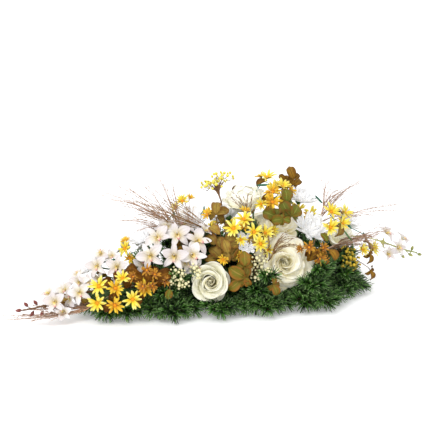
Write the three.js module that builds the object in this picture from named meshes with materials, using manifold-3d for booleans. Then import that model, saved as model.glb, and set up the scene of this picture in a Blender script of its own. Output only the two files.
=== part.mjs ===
// A teardrop funeral wreath of artificial flowers that lies flat on a grave or a table. A rigid
// foam former shaped like a drop is edged with fir picks, and white and ivory blooms, orchid
// sprays, yellow daisies, autumn leaves, berries and dry grasses stand in plain holes in its top.
// Millimetres. The origin is the centre of the former's round head on its flat underside, +X runs
// from the drop's tip to its round end and +Z is up.
import * as THREE from "three";
import { mergeVertices } from "three/addons/utils/BufferGeometryUtils.js";
import Module from "manifold-3d";

const wasm = await Module();
wasm.setup();

const TAU = Math.PI * 2;
const DEGREE = Math.PI / 180;
const UP = new THREE.Vector3(0, 0, 1);

// The former.
const FOAM_HEAD_RADIUS = 110;
const FOAM_TIP_X = -380;
const FOAM_HEIGHT = 45;
const FOAM_EDGE = 4;
const FOAM_ARC_STEPS = 14;
const TAPER_ANGLE = Math.asin(FOAM_HEAD_RADIUS / -FOAM_TIP_X);
const TANGENT_X = -FOAM_HEAD_RADIUS * Math.sin(TAPER_ANGLE);

// How stems stand in it, and how far apart two pieces stay at least.
const STEM_DEPTH = 16;
const STEM_MARGIN = 9;
const STEM_RADIUS = 2.2;
const SPRAY_RADIUS = 1.6;
const STALK_RADIUS = 0.9;
const STALK_STEP = 6;
const NECK = 7;
const CLEARANCE = 0.5;

// Fir picks: five twigs on one stem, pushed into the former's side wall.
const PICK_HEIGHT = 20;
const PICK_RADIUS = 2.4;
const PICK_DEPTH = 24;
const PICK_FORK = 14;
const PICK_SIDES = 4;
const NEEDLE_LENGTH = 21;
const NEEDLE_LEAN = 50 * DEGREE;
const NEEDLE_ROOT = 4.5;
const TWIG_RADIUS = 1.6;
const TWIG_TWIST = 30 * DEGREE;
const GROUND_GAP = 1.2;

const vec = (list) => new THREE.Vector3(...list);
const mix = (a, b, share) => a + (b - a) * share;

// What had to be moved or left out to keep its neighbours clear, in words.
export const notes = [];

// Repeatable draws between 0 and 1: one seed always gives the same row of numbers.
function draws(seed) {
  let state = seed;
  return () => {
    state = (state * 1664525 + 1013904223) % 4294967296;
    return state / 4294967296;
  };
}

// A closed three.js geometry as a solid that can be joined and cut.
function solidOf(geometry) {
  const bare = new THREE.BufferGeometry();
  bare.setAttribute("position", geometry.getAttribute("position"));
  if (geometry.index) bare.setIndex(geometry.index);
  const merged = mergeVertices(bare, 1e-4);
  return new wasm.Manifold(
    new wasm.Mesh({
      numProp: 3,
      vertProperties: merged.getAttribute("position").array,
      triVerts: new Uint32Array(merged.index.array),
    }),
  );
}

function solidFrom(points, triangles) {
  const geometry = new THREE.BufferGeometry().setFromPoints(points);
  geometry.setIndex(triangles.flat());
  return solidOf(geometry);
}

function joined(solids) {
  return solids.reduce((whole, solid) => whole.add(solid));
}

// What stands already, so that the next piece can be set clear of it.
const standing = [];

function stand(name, solid) {
  standing.push({ name, solid, box: solid.boundingBox() });
}

function boxesMeet(a, b) {
  return [0, 1, 2].every((k) => a.min[k] <= b.max[k] && b.min[k] <= a.max[k]);
}

// The four shifts, each as long as the clearance, that a clear piece can make without a touch.
const SHIFTS = [
  [1, 1, 1],
  [1, -1, -1],
  [-1, 1, -1],
  [-1, -1, 1],
].map((way) => way.map((step) => (step * CLEARANCE) / Math.sqrt(3)));

function crossedBy(solid, skip = "") {
  for (const shift of SHIFTS) {
    const shifted = solid.translate(shift);
    const box = shifted.boundingBox();
    for (const other of standing) {
      if (other.name === skip || !boxesMeet(box, other.box)) continue;
      if (shifted.intersect(other.solid).volume() > 0) return other.name;
    }
  }
  return null;
}

// Places a piece: local +Z points along face and local +Y as far up as it can, then it rolls.
function pose(at, face, roll = 0) {
  const z = face.clone().normalize();
  const up = Math.abs(z.z) > 0.97 ? new THREE.Vector3(-1, 0, 0) : UP;
  const y = up.clone().addScaledVector(z, -up.dot(z)).normalize();
  const x = y.clone().cross(z);
  return new THREE.Matrix4()
    .makeBasis(x, y, z)
    .setPosition(at)
    .multiply(new THREE.Matrix4().makeRotationZ(roll));
}

// The way the mound's skin faces at a point: blooms look outwards unless they say otherwise.
function outward(point) {
  return new THREE.Vector3(
    (point.x + 60) / 430 ** 2,
    point.y / 150 ** 2,
    Math.max(point.z, 20) / 230 ** 2,
  ).normalize();
}

// Two rings of points round one axis, joined by triangles. A ring of one point is a pole.
function zip(lower, upper, triangles) {
  const turn = (ring, n) => ring[n % ring.length].turn + Math.floor(n / ring.length);
  const middle = (ring, n) => (turn(ring, n) + turn(ring, n + 1)) / 2;
  let low = 0;
  let high = 0;
  const lowEnd = lower.length > 1 ? lower.length : 0;
  const highEnd = upper.length > 1 ? upper.length : 0;
  while (low < lowEnd || high < highEnd) {
    const stepLow = low < lowEnd && (high >= highEnd || middle(lower, low) <= middle(upper, high));
    const a = lower[low % lower.length].index;
    const c = upper[high % upper.length].index;
    if (stepLow) triangles.push([a, lower[(low + 1) % lower.length].index, c]);
    else triangles.push([a, upper[(high + 1) % upper.length].index, c]);
    if (stepLow) low++;
    else high++;
  }
}

// Three points square to a stalk at each of its corners, ready to be zipped: x is the way that the
// first point looks at the last corner, from where it is carried back without a twist. A corner's
// own plane halves its bend.
function stalkRings(corners, radius, x, points) {
  const rows = [];
  let side = x;
  for (let k = corners.length - 1; k >= 0; k--) {
    const way = new THREE.Vector3();
    if (k > 0) way.add(corners[k].clone().sub(corners[k - 1]).normalize());
    if (k < corners.length - 1) way.add(corners[k + 1].clone().sub(corners[k]).normalize());
    way.normalize();
    side = side.clone().addScaledVector(way, -side.dot(way)).normalize();
    rows.unshift({ corner: corners[k], side, over: way.clone().cross(side) });
  }
  return rows.map(({ corner, side: first, over }) =>
    [0, 1, 2].map((n) => {
      const point = corner.clone().addScaledVector(first, radius * Math.cos((n / 3) * TAU));
      points.push(point.addScaledVector(over, radius * Math.sin((n / 3) * TAU)));
      return { index: points.length - 1, turn: n / 3 };
    }),
  );
}

// A bloom as one skin with its stalk: the rings run up the stalk, out under the calyx over each
// layer of petals, down into the valley behind it and on to the heart. A ring with many radii has
// one for each column of a petal, a ring with one radius has a point a petal, at its own column, or
// as many as it counts, and a pole has only a height.
function petals(form, matrix, stalk) {
  const { lobes, columns, radius, depth, rings } = form;
  const x = new THREE.Vector3().setFromMatrixColumn(matrix, 0);
  const points = [stalk.corners[0].clone()];
  const built = [[{ index: 0, turn: 0 }], ...stalkRings(stalk.corners, stalk.radius, x, points)];
  rings.forEach((ring) => {
    const place = (r, turn, z) => {
      const angle = turn * TAU;
      const local = new THREE.Vector3(r * Math.cos(angle), r * Math.sin(angle), z * depth);
      points.push(local.applyMatrix4(matrix));
      return { index: points.length - 1, turn };
    };
    if (ring.pole !== undefined) {
      built.push([place(0, 0, ring.pole)]);
      return;
    }
    const made = [];
    const count = ring.count ?? lobes;
    for (let lobe = 0; lobe < count; lobe++) {
      ring.r.forEach((share, column) => {
        const step = ring.r.length > 1 ? column + (ring.shift ?? 0) : (ring.column ?? 0);
        made.push(place(share * radius, (lobe + step / columns) / count, ring.z[column]));
      });
    }
    built.push(made);
  });
  const triangles = [];
  for (let k = 1; k < built.length; k++) zip(built[k - 1], built[k], triangles);
  return solidFrom(points, triangles);
}

// Petal forms. Radii are shares of the bloom's radius and heights are shares of its depth.
const OPEN_ROSE = {
  lobes: 5,
  columns: 3,
  rings: [
    { r: [0.26], z: [0.02], column: 1.5 },
    { r: [0.7, 0.84, 0.84], z: [0.26, 0.3, 0.3] },
    { r: [0.84, 1, 1], z: [0.5, 0.6, 0.56] },
    { r: [0.62], z: [0.5], column: 1.5 },
    { r: [0.66, 0.78, 0.76], z: [0.68, 0.84, 0.8], shift: 1.5 },
    { r: [0.44], z: [0.64], column: 0 },
    { r: [0.44, 0.54, 0.52], z: [0.86, 0.98, 0.94], shift: 0 },
    { r: [0.24], z: [0.76], column: 1.5 },
    { pole: 0.98 },
  ],
};
const MUM = {
  lobes: 8,
  columns: 2,
  rings: [
    { r: [0.24], z: [0.04], column: 0 },
    { r: [0.76, 1], z: [0.3, 0.36] },
    { r: [0.56], z: [0.42], column: 1 },
    { r: [0.6, 0.82], z: [0.6, 0.74], shift: 1 },
    { r: [0.34], z: [0.62], column: 0 },
    { r: [0.34, 0.5], z: [0.84, 1] },
    { pole: 0.74 },
  ],
};
const GLOBE_PEONY = {
  lobes: 9,
  columns: 2,
  rings: [
    { r: [0.3], z: [0.03], column: 0 },
    { r: [0.8], z: [0.28], column: 1 },
    { r: [0.88, 1], z: [0.62, 0.74] },
    { r: [0.68], z: [0.6], column: 1 },
    { r: [0.64, 0.76], z: [0.82, 0.94], shift: 1 },
    { r: [0.4], z: [0.72], column: 0 },
    { r: [0.34, 0.44], z: [0.92, 1] },
    { pole: 0.8 },
  ],
};
const DAISY = {
  lobes: 7,
  columns: 2,
  depth: 9,
  face: 3,
  radius: 20,
  rings: [
    { r: [0.42, 1], z: [0.42, 0.7] },
    { pole: 0.78 },
  ],
};
const ORCHID = {
  lobes: 5,
  columns: 4,
  depth: 10,
  face: 3,
  radius: 31,
  rings: [
    { r: [0.22, 0.72, 1, 0.72], z: [0.3, 0.56, 0.3, 0.56] },
    { r: [0.3], z: [0.48], count: 4 },
    { pole: 1.15 },
  ],
};
const ORCHID_BUD = {
  lobes: 4,
  columns: 1,
  depth: 13,
  face: 6,
  radius: 4,
  rings: [{ r: [1], z: [0.55] }, { pole: 1 }],
};
const BERRY = {
  lobes: 4,
  columns: 1,
  depth: 7.6,
  face: 3.8,
  radius: 4.2,
  rings: [{ r: [1], z: [0.5] }, { pole: 1 }],
};

// A leaf as a thin lens with a raised rib, of one skin with its stalk. Its outline runs up one side
// and down the other, both faces are split alike, and droop bends the tip back.
const LEAF_OUTLINE = [
  [0.38, 0.2],
  [0.5, 0.54],
  [0.3, 0.84],
  [0, 1],
  [-0.3, 0.84],
  [-0.5, 0.54],
  [-0.38, 0.2],
];
const LEAF_RIB = 0.48;
const LEAF_THICK = 2;

function leafBlade({ length, width, droop = 0.15 }, matrix, stalk) {
  const sag = (along) => -droop * length * along * along;
  const points = [stalk.corners[0].clone()];
  const side = new THREE.Vector3().setFromMatrixColumn(matrix, 2).negate();
  const built = stalkRings(stalk.corners, stalk.radius, side, points);
  const triangles = [];
  [[{ index: 0, turn: 0 }], ...built].forEach((ring, k, all) => {
    if (k) zip(all[k - 1], ring, triangles);
  });
  const [under, left, right] = built.at(-1).map((corner) => corner.index);
  const place = (x, y, z) => points.push(new THREE.Vector3(x, y, z).applyMatrix4(matrix)) - 1;
  const rim = LEAF_OUTLINE.map(([x, y]) => place(x * width, y * length, sag(y)));
  const rib = sag(LEAF_RIB);
  const top = place(0, length * LEAF_RIB, rib + LEAF_THICK * 0.6);
  const bottom = place(0, length * LEAF_RIB, rib - LEAF_THICK * 0.4);
  const upper = [right, ...rim, left];
  upper.forEach((corner, k) => {
    triangles.push([corner, upper[(k + 1) % upper.length], top]);
  });
  const lower = [under, right, ...rim, left];
  lower.forEach((corner, k) => {
    triangles.push([lower[(k + 1) % lower.length], corner, bottom]);
  });
  return solidFrom(points, triangles);
}

// A three-sided stem through its corners, closed by a pole at each end.
function stemSkin(corners, radius) {
  const points = [corners[0].clone(), corners.at(-1).clone()];
  const rings = stalkRings(corners, radius, squareTo(corners[1].clone().sub(corners[0]))[0], points);
  const triangles = [];
  const all = [[{ index: 0, turn: 0 }], ...rings, [{ index: 1, turn: 0 }]];
  for (let k = 1; k < all.length; k++) zip(all[k - 1], all[k], triangles);
  return solidFrom(points, triangles);
}

// A fir twig: a three-sided skin along a curve that thins to a point. Each whorl is a short collar
// whose six triangles are drawn out into needles that lean towards the tip.
function firSprig(curve, bare, whorls) {
  const length = curve.getLength();
  const pitch = (length - bare) / whorls;
  const marks = [0];
  for (let n = 0; n < whorls; n++) marks.push(bare + n * pitch, bare + n * pitch + NEEDLE_ROOT);
  const points = [];
  const rows = marks.map((mark, i) => {
    const share = mark / length;
    const centre = curve.getPointAt(share);
    const way = curve.getTangentAt(share);
    const [over, side] = squareTo(way);
    const radius = mix(TWIG_RADIUS, TWIG_RADIUS * 0.6, share);
    const twist = Math.ceil(i / 2) * TWIG_TWIST;
    for (let k = 0; k < 3; k++) {
      const angle = (k / 3) * TAU + twist;
      const point = centre.clone().addScaledVector(side, radius * Math.cos(angle));
      points.push(point.addScaledVector(over, radius * Math.sin(angle)));
    }
    return { centre, way };
  });
  const tip = points.push(curve.getPointAt(1)) - 1;
  const triangles = [[0, 2, 1]];
  const drawOut = (corners, { centre, way }) => {
    const middle = corners.reduce((sum, c) => sum.add(points[c]), new THREE.Vector3()).divideScalar(3);
    const away = middle.clone().sub(centre);
    away.addScaledVector(way, -away.dot(way)).normalize();
    const end = middle
      .addScaledVector(away, NEEDLE_LENGTH * Math.sin(NEEDLE_LEAN))
      .addScaledVector(way, NEEDLE_LENGTH * Math.cos(NEEDLE_LEAN));
    end.z = Math.max(end.z, GROUND_GAP);
    const e = points.push(end) - 1;
    corners.forEach((corner, k) => triangles.push([corner, corners[(k + 1) % 3], e]));
  };
  const last = rows.length - 1;
  rows.forEach((row, i) => {
    for (let k = 0; k < 3; k++) {
      const a = i * 3 + k;
      const b = i * 3 + ((k + 1) % 3);
      const band = i === last ? [[a, b, tip]] : [[a, b, a + 3], [b, b + 3, a + 3]];
      if (i % 2) band.forEach((corners) => drawOut(corners, row));
      else triangles.push(...band);
    }
  });
  return solidFrom(points, triangles);
}

// The former's half width at x, and the nearest place to (x, y) where a stem may stand.
function foamHalfWidth(x) {
  if (x > TANGENT_X) return Math.sqrt(Math.max(0, FOAM_HEAD_RADIUS ** 2 - x ** 2));
  return (x - FOAM_TIP_X) * Math.tan(TAPER_ANGLE);
}

function footing(x, y) {
  const inX = THREE.MathUtils.clamp(x, FOAM_TIP_X + 50, FOAM_HEAD_RADIUS - STEM_MARGIN);
  const room = Math.max(0, foamHalfWidth(inX) - STEM_MARGIN);
  return [inX, THREE.MathUtils.clamp(y, -room, room)];
}

const AROUND = [0, 45, 90, 135, 180, 225, 270, 315].map((turn) => turn * DEGREE);

// Offsets to try, from none to wide, round a ring that gets wider.
function rings(sizes) {
  const offsets = [[0, 0]];
  for (const size of sizes)
    for (const turn of AROUND) offsets.push([size * Math.cos(turn), size * Math.sin(turn)]);
  return offsets;
}

const FOOT_OFFSETS = rings([9, 18]);
const BENDS = rings([9, 18, 30, 44]);
const STALK_BENDS = rings([6, 12, 20, 30]);
const holes = [];

// Two directions square to a line.
function squareTo(line) {
  const steep = Math.abs(line.z) > 0.9 * line.length();
  const side = line.clone().cross(steep ? new THREE.Vector3(1, 0, 0) : UP);
  side.normalize();
  return [side, side.clone().cross(line).normalize()];
}

// The plain hole that a stem stands in.
function stemHole(foot, radius) {
  const wide = (radius + CLEARANCE) * 2;
  const deep = STEM_DEPTH + CLEARANCE;
  const hole = new THREE.CylinderGeometry(wide, wide, 2 * deep, 3);
  hole.rotateX(Math.PI / 2);
  return solidOf(hole).translate([foot.x, foot.y, FOAM_HEIGHT]);
}

// A stem that stands upright in the former and then runs through its route, set clear of what
// stands: make turns its corners into a solid. Footings and bends are tried from near to wide.
function setStem(name, route, radius, make) {
  const first = route[0];
  const crossings = [];
  for (const [footX, footY] of FOOT_OFFSETS) {
    const [x, y] = footing(first.x * 0.84 + footX, first.y * 0.5 + footY);
    const foot = new THREE.Vector3(x, y, FOAM_HEIGHT - STEM_DEPTH);
    const mouth = new THREE.Vector3(x, y, FOAM_HEIGHT + 4);
    const way = first.clone().sub(mouth);
    const [side, over] = squareTo(way);
    for (const [bendX, bendY] of BENDS) {
      const bend = mouth.clone().addScaledVector(way, 0.5);
      bend.addScaledVector(side, bendX).addScaledVector(over, bendY);
      if (bend.z < FOAM_HEIGHT + 8) continue;
      const corners = [foot, mouth, bend, ...route];
      const made = make(corners);
      const crossed = crossedBy(made, "foam_base");
      if (crossed) {
        crossings.push(crossed);
        continue;
      }
      holes.push(stemHole(foot, radius));
      return { solid: made, corners };
    }
  }
  notes.push(name + ": no clear way for its stem past " + [...new Set(crossings)].join(" "));
  return null;
}

const wreath = new THREE.Group();

// One node: its pieces are joined, a sealed hollow is filled and a loose scrap is dropped.
function node(name, solids, look) {
  const bodies = joined(solids)
    .decompose()
    .sort((a, b) => b.volume() - a.volume());
  const body = bodies[0];
  bodies.slice(1).forEach((scrap) => {
    if (scrap.volume() > 1) notes.push(name + ": a scrap of " + scrap.volume().toFixed(1));
  });
  const mesh = body.getMesh();
  const geometry = new THREE.BufferGeometry();
  const positions = new Float32Array(mesh.numVert * 3);
  for (let k = 0; k < mesh.numVert; k++)
    positions.set(mesh.vertProperties.subarray(k * mesh.numProp, k * mesh.numProp + 3), k * 3);
  geometry.setAttribute("position", new THREE.BufferAttribute(positions, 3));
  geometry.setIndex(new THREE.BufferAttribute(new Uint32Array(mesh.triVerts), 1));
  geometry.computeVertexNormals();
  const piece = new THREE.Mesh(
    geometry,
    new THREE.MeshStandardMaterial({ color: look[0], roughness: look[1], metalness: 0 }),
  );
  piece.name = name;
  wreath.add(piece);
  stand(name, body);
  return body;
}

// Colour and roughness of each finish.
const LOOKS = {
  foam: ["#4c6b3c", 0.95],
  fir: ["#1f5a2c", 0.6],
  ivory: ["#efe9cf", 0.75],
  cream: ["#f2e7b4", 0.75],
  white: ["#f4f4f2", 0.75],
  orchid: ["#f3f1ee", 0.6],
  daisy: ["#f6d52a", 0.7],
  amber: ["#d98f18", 0.7],
  leafBrown: ["#8a5a1e", 0.65],
  leafGreen: ["#6f7f35", 0.6],
  leafGold: ["#c9a64f", 0.65],
  berryYellow: ["#f3dc20", 0.5],
  berryPale: ["#eee08a", 0.5],
  mustard: ["#c09a1d", 0.6],
  grass: ["#a9754c", 0.85],
};

// The former: a drop with a round head, its edges broken by a small chamfer.
function foamBody() {
  const inset = FOAM_EDGE;
  const radius = FOAM_HEAD_RADIUS - inset;
  const tangent = Math.PI / 2 + TAPER_ANGLE;
  const outline = new THREE.Shape();
  outline.moveTo(FOAM_TIP_X + inset / Math.sin(TAPER_ANGLE), 0);
  outline.lineTo(radius * Math.cos(tangent), -radius * Math.sin(tangent));
  outline.absarc(0, 0, radius, -tangent, tangent, false);
  return solidOf(
    new THREE.ExtrudeGeometry(outline, {
      depth: FOAM_HEIGHT - 2 * FOAM_EDGE,
      curveSegments: FOAM_ARC_STEPS,
      bevelThickness: FOAM_EDGE,
      bevelSize: FOAM_EDGE,
      bevelSegments: 1,
    }),
  ).translate([0, 0, FOAM_EDGE]);
}

const foamBlank = foamBody();
stand("foam_base", foamBlank);

// Blooms: the middle of the face, the way it looks, the radius and the depth behind the face.
const BLOOMS = [
  ["rose_front", OPEN_ROSE, "ivory", [-223, -120, 80], [-0.41, -0.87, 0.28], 41, 44],
  ["rose_low", OPEN_ROSE, "cream", [-44, -120, 98], [-0.3, -0.86, 0.42], 50, 48],
  ["rose_high", OPEN_ROSE, "cream", [-22, -52, 168], [-0.1, -0.55, 0.83], 40, 42],
  ["rose_right", GLOBE_PEONY, "cream", [122, -80, 146], [0.05, -0.35, 0.93], 31, 50],
  ["peony_top", GLOBE_PEONY, "cream", [-88, -10, 250], [-0.1, -0.12, 0.98], 43, 64],
  ["mum_right", MUM, "white", [56, -76, 164], [0.15, -0.6, 0.78], 41, 38],
  ["mum_crown", MUM, "white", [70, 6, 222], [0.3, -0.1, 0.95], 38, 38],
  ["mum_centre", MUM, "white", [-128, -98, 150], [-0.35, -0.75, 0.55], 27, 24],
  ["mum_mid", MUM, "white", [-212, 4, 200], [-0.3, -0.25, 0.92], 36, 36],
  ["mum_left", MUM, "white", [-330, 20, 172], [-0.5, -0.15, 0.85], 36, 36],
  ["mum_tip", MUM, "white", [-450, 36, 112], [-0.62, 0.1, 0.78], 30, 28],
  ["mum_far_right", MUM, "white", [205, 4, 148], [0.6, -0.2, 0.78], 35, 34],
  ["rose_back_left", OPEN_ROSE, "ivory", [-200, 100, 122], [-0.35, 0.8, 0.48], 40, 42],
  ["rose_back_right", OPEN_ROSE, "cream", [20, 118, 118], [0.2, 0.86, 0.46], 44, 46],
  ["mum_back", MUM, "white", [-92, 88, 178], [-0.1, 0.66, 0.74], 38, 36],
];

function bloom([name, form, look, face, way, radius, depth]) {
  const towards = vec(way).normalize();
  const base = vec(face).addScaledVector(towards, -depth);
  const matrix = pose(base, towards);
  const neck = base.clone().addScaledVector(towards, -2 * NECK);
  const make = (corners) => petals({ ...form, radius, depth }, matrix, { corners, radius: STEM_RADIUS });
  const set = setStem(name, [neck, base], STEM_RADIUS, make);
  if (set) node(name, [set.solid], LOOKS[look]);
}

BLOOMS.forEach(bloom);

// Where the fir picks stand: the tip, points along both straight sides and round the head.
function pickSeats() {
  const seats = [{ at: [FOAM_TIP_X + 12, 0], turn: 180 * DEGREE, name: "tip" }];
  const taper = Math.cos(TAPER_ANGLE);
  [
    ["front", -1],
    ["back", 1],
  ].forEach(([sideName, side]) => {
    [105, 205, 305].forEach((along, k) => {
      const x = FOAM_TIP_X + along * taper;
      const y = side * along * Math.sin(TAPER_ANGLE);
      const turn = side * (90 * DEGREE + TAPER_ANGLE);
      seats.push({ at: [x, y], turn, name: sideName + "_" + (k + 1) });
    });
    [84, 42].forEach((angle, k) => {
      const turn = side * angle * DEGREE;
      const at = [FOAM_HEAD_RADIUS * Math.cos(turn), FOAM_HEAD_RADIUS * Math.sin(turn)];
      seats.push({ at, turn, name: sideName + "_" + (k + 4) });
    });
  });
  seats.push({ at: [FOAM_HEAD_RADIUS, 0], turn: 0, name: "head" });
  return seats;
}

// Each twig of a pick: its turn from the pick's way, its reach, its rise at the middle and at the
// tip, how far it is bare and how many whorls of needles it has.
const LOW_TWIGS = [
  { turn: -42, reach: 76, rise: [8, 0], bare: 34, whorls: 2 },
  { turn: 0, reach: 84, rise: [6, 1], bare: 30, whorls: 3 },
  { turn: 42, reach: 76, rise: [8, 0], bare: 34, whorls: 2 },
];
const HIGH_TWIGS = [
  { turn: -26, reach: 62, rise: [32, 36], bare: 38, whorls: 2 },
  { turn: 24, reach: 48, rise: [52, 66], bare: 40, whorls: 2 },
];
const TIP_TWIGS = [
  { turn: -80, reach: 76, rise: [7, 0], bare: 34, whorls: 2 },
  { turn: -40, reach: 80, rise: [7, 0], bare: 38, whorls: 2 },
  { turn: 0, reach: 84, rise: [6, 1], bare: 30, whorls: 3 },
  { turn: 40, reach: 80, rise: [7, 0], bare: 38, whorls: 2 },
  { turn: 80, reach: 76, rise: [7, 0], bare: 34, whorls: 2 },
];
const TOP_TWIGS = [0, 72, 144, 216, 288].map((turn, k) => ({
  turn,
  reach: k % 2 ? 74 : 54,
  rise: k % 2 ? [44, 52] : [56, 84],
  bare: 44,
  whorls: 2,
}));

function firTwig(fork, way, { turn, reach, rise, bare, whorls }, sway) {
  const angle = way + (turn + sway) * DEGREE;
  const level = new THREE.Vector3(Math.cos(angle), Math.sin(angle), 0);
  const middle = fork.clone().addScaledVector(level, reach * 0.42).addScaledVector(UP, rise[0]);
  const end = fork.clone().addScaledVector(level, reach).addScaledVector(UP, rise[1]);
  return firSprig(new THREE.QuadraticBezierCurve3(fork, middle, end), bare, whorls);
}

const SWAYS = [0, 5, -5, 10, -10, 15, -15, 20, -20];

// A straight square peg from one point to another.
function peg(from, to, radius) {
  const section = new THREE.Shape();
  for (let k = 0; k < PICK_SIDES; k++) {
    const angle = (k / PICK_SIDES) * TAU;
    if (k) section.lineTo(radius * Math.cos(angle), radius * Math.sin(angle));
    else section.moveTo(radius, 0);
  }
  const path = new THREE.LineCurve3(from, to);
  return solidOf(
    new THREE.ExtrudeGeometry(section, { steps: 1, bevelEnabled: false, extrudePath: path }),
  );
}

// The twigs that fork from one place, each turned sideways until it is clear of what stands.
function clearTwigs(name, fork, way, twigs) {
  return twigs.flatMap((twig) => {
    const crossings = [];
    for (const sway of SWAYS) {
      const made = firTwig(fork, way, twig, sway);
      const crossed = crossedBy(made, "foam_base");
      if (!crossed) return [made];
      crossings.push(crossed);
    }
    notes.push(name + ": twig at " + twig.turn + " crosses " + crossings[0]);
    return [];
  });
}

// A pick in the side wall.
function firPick({ at, turn, name }) {
  const level = new THREE.Vector3(Math.cos(turn), Math.sin(turn), 0);
  const mouth = new THREE.Vector3(at[0], at[1], PICK_HEIGHT);
  const inside = mouth.clone().addScaledVector(level, -PICK_DEPTH);
  const fork = mouth.clone().addScaledVector(level, PICK_FORK);
  const past = fork.clone().addScaledVector(level, 3);
  const deeper = inside.clone().addScaledVector(level, -CLEARANCE);
  holes.push(peg(deeper, past, PICK_RADIUS + CLEARANCE));
  const twigs = name === "tip" ? TIP_TWIGS : [...LOW_TWIGS, ...HIGH_TWIGS];
  const solids = clearTwigs("fir_" + name, fork, turn, twigs);
  node("fir_" + name, [peg(inside, past, PICK_RADIUS), ...solids], LOOKS.fir);
}

pickSeats().forEach(firPick);

// A pick that stands in the top between the stems.
function topPick([x, y], index) {
  const name = "fir_top_" + (index + 1);
  for (const [footX, footY] of FOOT_OFFSETS) {
    const foot = new THREE.Vector3(x + footX, y + footY, FOAM_HEIGHT - STEM_DEPTH);
    const fork = foot.clone().setZ(FOAM_HEIGHT + 6);
    const stem = stemSkin([foot, fork], STEM_RADIUS);
    if (crossedBy(stem, "foam_base")) continue;
    const solids = clearTwigs(name, fork, 0, TOP_TWIGS);
    if (!solids.length) continue;
    holes.push(stemHole(foot, STEM_RADIUS));
    node(name, [stem, ...solids], LOOKS.fir);
    return;
  }
  notes.push(name + ": no place for its stem");
}

// The florets and leaves that sprays carry.
const FLORETS = { daisy: DAISY, orchid: ORCHID, bud: ORCHID_BUD, berry: BERRY };

// One head of a spray: what it is, where its middle is, and where it looks if not outwards. roll
// turns it in its own plane, and size is a floret's radius or a leaf's length. The result says
// where its stalk arrives and which way, and makes it with a stalk through the given corners.
function head([kind, at, face, roll = 0, size], broad = 0.72) {
  const middle = vec(at);
  const towards = face ? vec(face).normalize() : outward(middle);
  const turned = pose(middle, towards, roll * DEGREE);
  if (kind === "leaf") {
    const length = size ?? 36;
    const base = new THREE.Vector3(0, -length * LEAF_RIB, 0).applyMatrix4(turned);
    const into = new THREE.Vector3().setFromMatrixColumn(turned, 1);
    const shape = { length, width: length * broad };
    return { base, into, make: (stalk) => leafBlade(shape, turned.clone().setPosition(base), stalk) };
  }
  const form = FLORETS[kind];
  const radius = size ?? form.radius;
  const scale = radius / form.radius;
  const base = middle.clone().addScaledVector(towards, -form.face * scale);
  const shape = { ...form, radius, depth: form.depth * scale };
  const into = kind === "berry" ? null : towards;
  return { base, into, make: (stalk) => petals(shape, turned.clone().setPosition(base), stalk) };
}

// Places every few millimetres along the middle of a stem, which is straight between its corners.
function alongLine(corners) {
  const places = [];
  for (let k = 1; k < corners.length; k++) {
    const parts = Math.ceil(corners[k].distanceTo(corners[k - 1]) / STALK_STEP);
    for (let n = 0; n < parts; n++) places.push(corners[k - 1].clone().lerp(corners[k], n / parts));
  }
  places.push(corners.at(-1).clone());
  return places;
}

// A head on a stalk from a stem, the stalk bent clear of what stands.
function onStalk(label, { base, into, make }, places) {
  const reach = places.map((place) => place.distanceTo(base));
  const nearest = reach.indexOf(Math.min(...reach));
  let crossed = null;
  for (const back of [1, 3, 0, 5]) {
    const from = places[Math.max(0, nearest - back)];
    const way = base.clone().sub(from);
    const [side, over] = squareTo(way);
    for (const [bendX, bendY] of STALK_BENDS) {
      const bent = bendX || bendY;
      const askew = into && way.clone().normalize().dot(into) < 0.4;
      const corners = [from];
      if (bent) {
        const bend = from.clone().addScaledVector(way, 0.5);
        corners.push(bend.addScaledVector(side, bendX).addScaledVector(over, bendY));
      }
      if (into && (bent || askew)) corners.push(base.clone().addScaledVector(into, -NECK));
      corners.push(base);
      const made = make({ corners, radius: STALK_RADIUS });
      const by = crossedBy(made);
      if (!by) return made;
      crossed ??= by;
    }
  }
  notes.push(label + " crosses " + crossed);
  return null;
}

// A spray: one stem through its route, and a stalk from the nearest place on it to each head.
function spray({ name, look, route, heads, broad }) {
  const make = (corners) => stemSkin(corners, SPRAY_RADIUS);
  const main = setStem(name, route.map(vec), SPRAY_RADIUS, make);
  if (!main) return;
  const places = alongLine(main.corners.slice(2));
  const solids = [main.solid];
  heads.forEach((entry) => {
    const made = onStalk(name + ": " + entry[0] + " at " + entry[1], head(entry, broad), places);
    if (made) solids.push(made);
  });
  node(name, solids, LOOKS[look]);
}

// Berries of a bunch: spread like seeds of a sunflower over a disc that looks outwards, at heights
// that are drawn.
const GOLDEN_TURN = 137.5 * DEGREE;

function berries({ name, look, route, bunches }) {
  const heads = bunches.flatMap(({ at, spread, count, seed }) => {
    const draw = draws(seed);
    const middle = vec(at);
    const matrix = pose(middle, outward(middle));
    return Array.from({ length: count }, (_, k) => {
      const reach = spread * Math.sqrt((k + 0.5) / count);
      const turn = k * GOLDEN_TURN;
      const rise = mix(-0.3, 0.3, draw()) * spread;
      const place = new THREE.Vector3(reach * Math.cos(turn), reach * Math.sin(turn), rise);
      return ["berry", place.applyMatrix4(matrix).toArray()];
    });
  });
  spray({ name, look, route, heads });
}

// Dry grass: thin strands that arch from the end of a stem to their tips.
const GRASS_RADIUS = 0.75;
const GRASS_LIFTS = [14, 24, 6, 34, 46, 0, 60];
const GRASS_SWAYS = [0, 8, -8, 18, -18, 30, -30];

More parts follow.
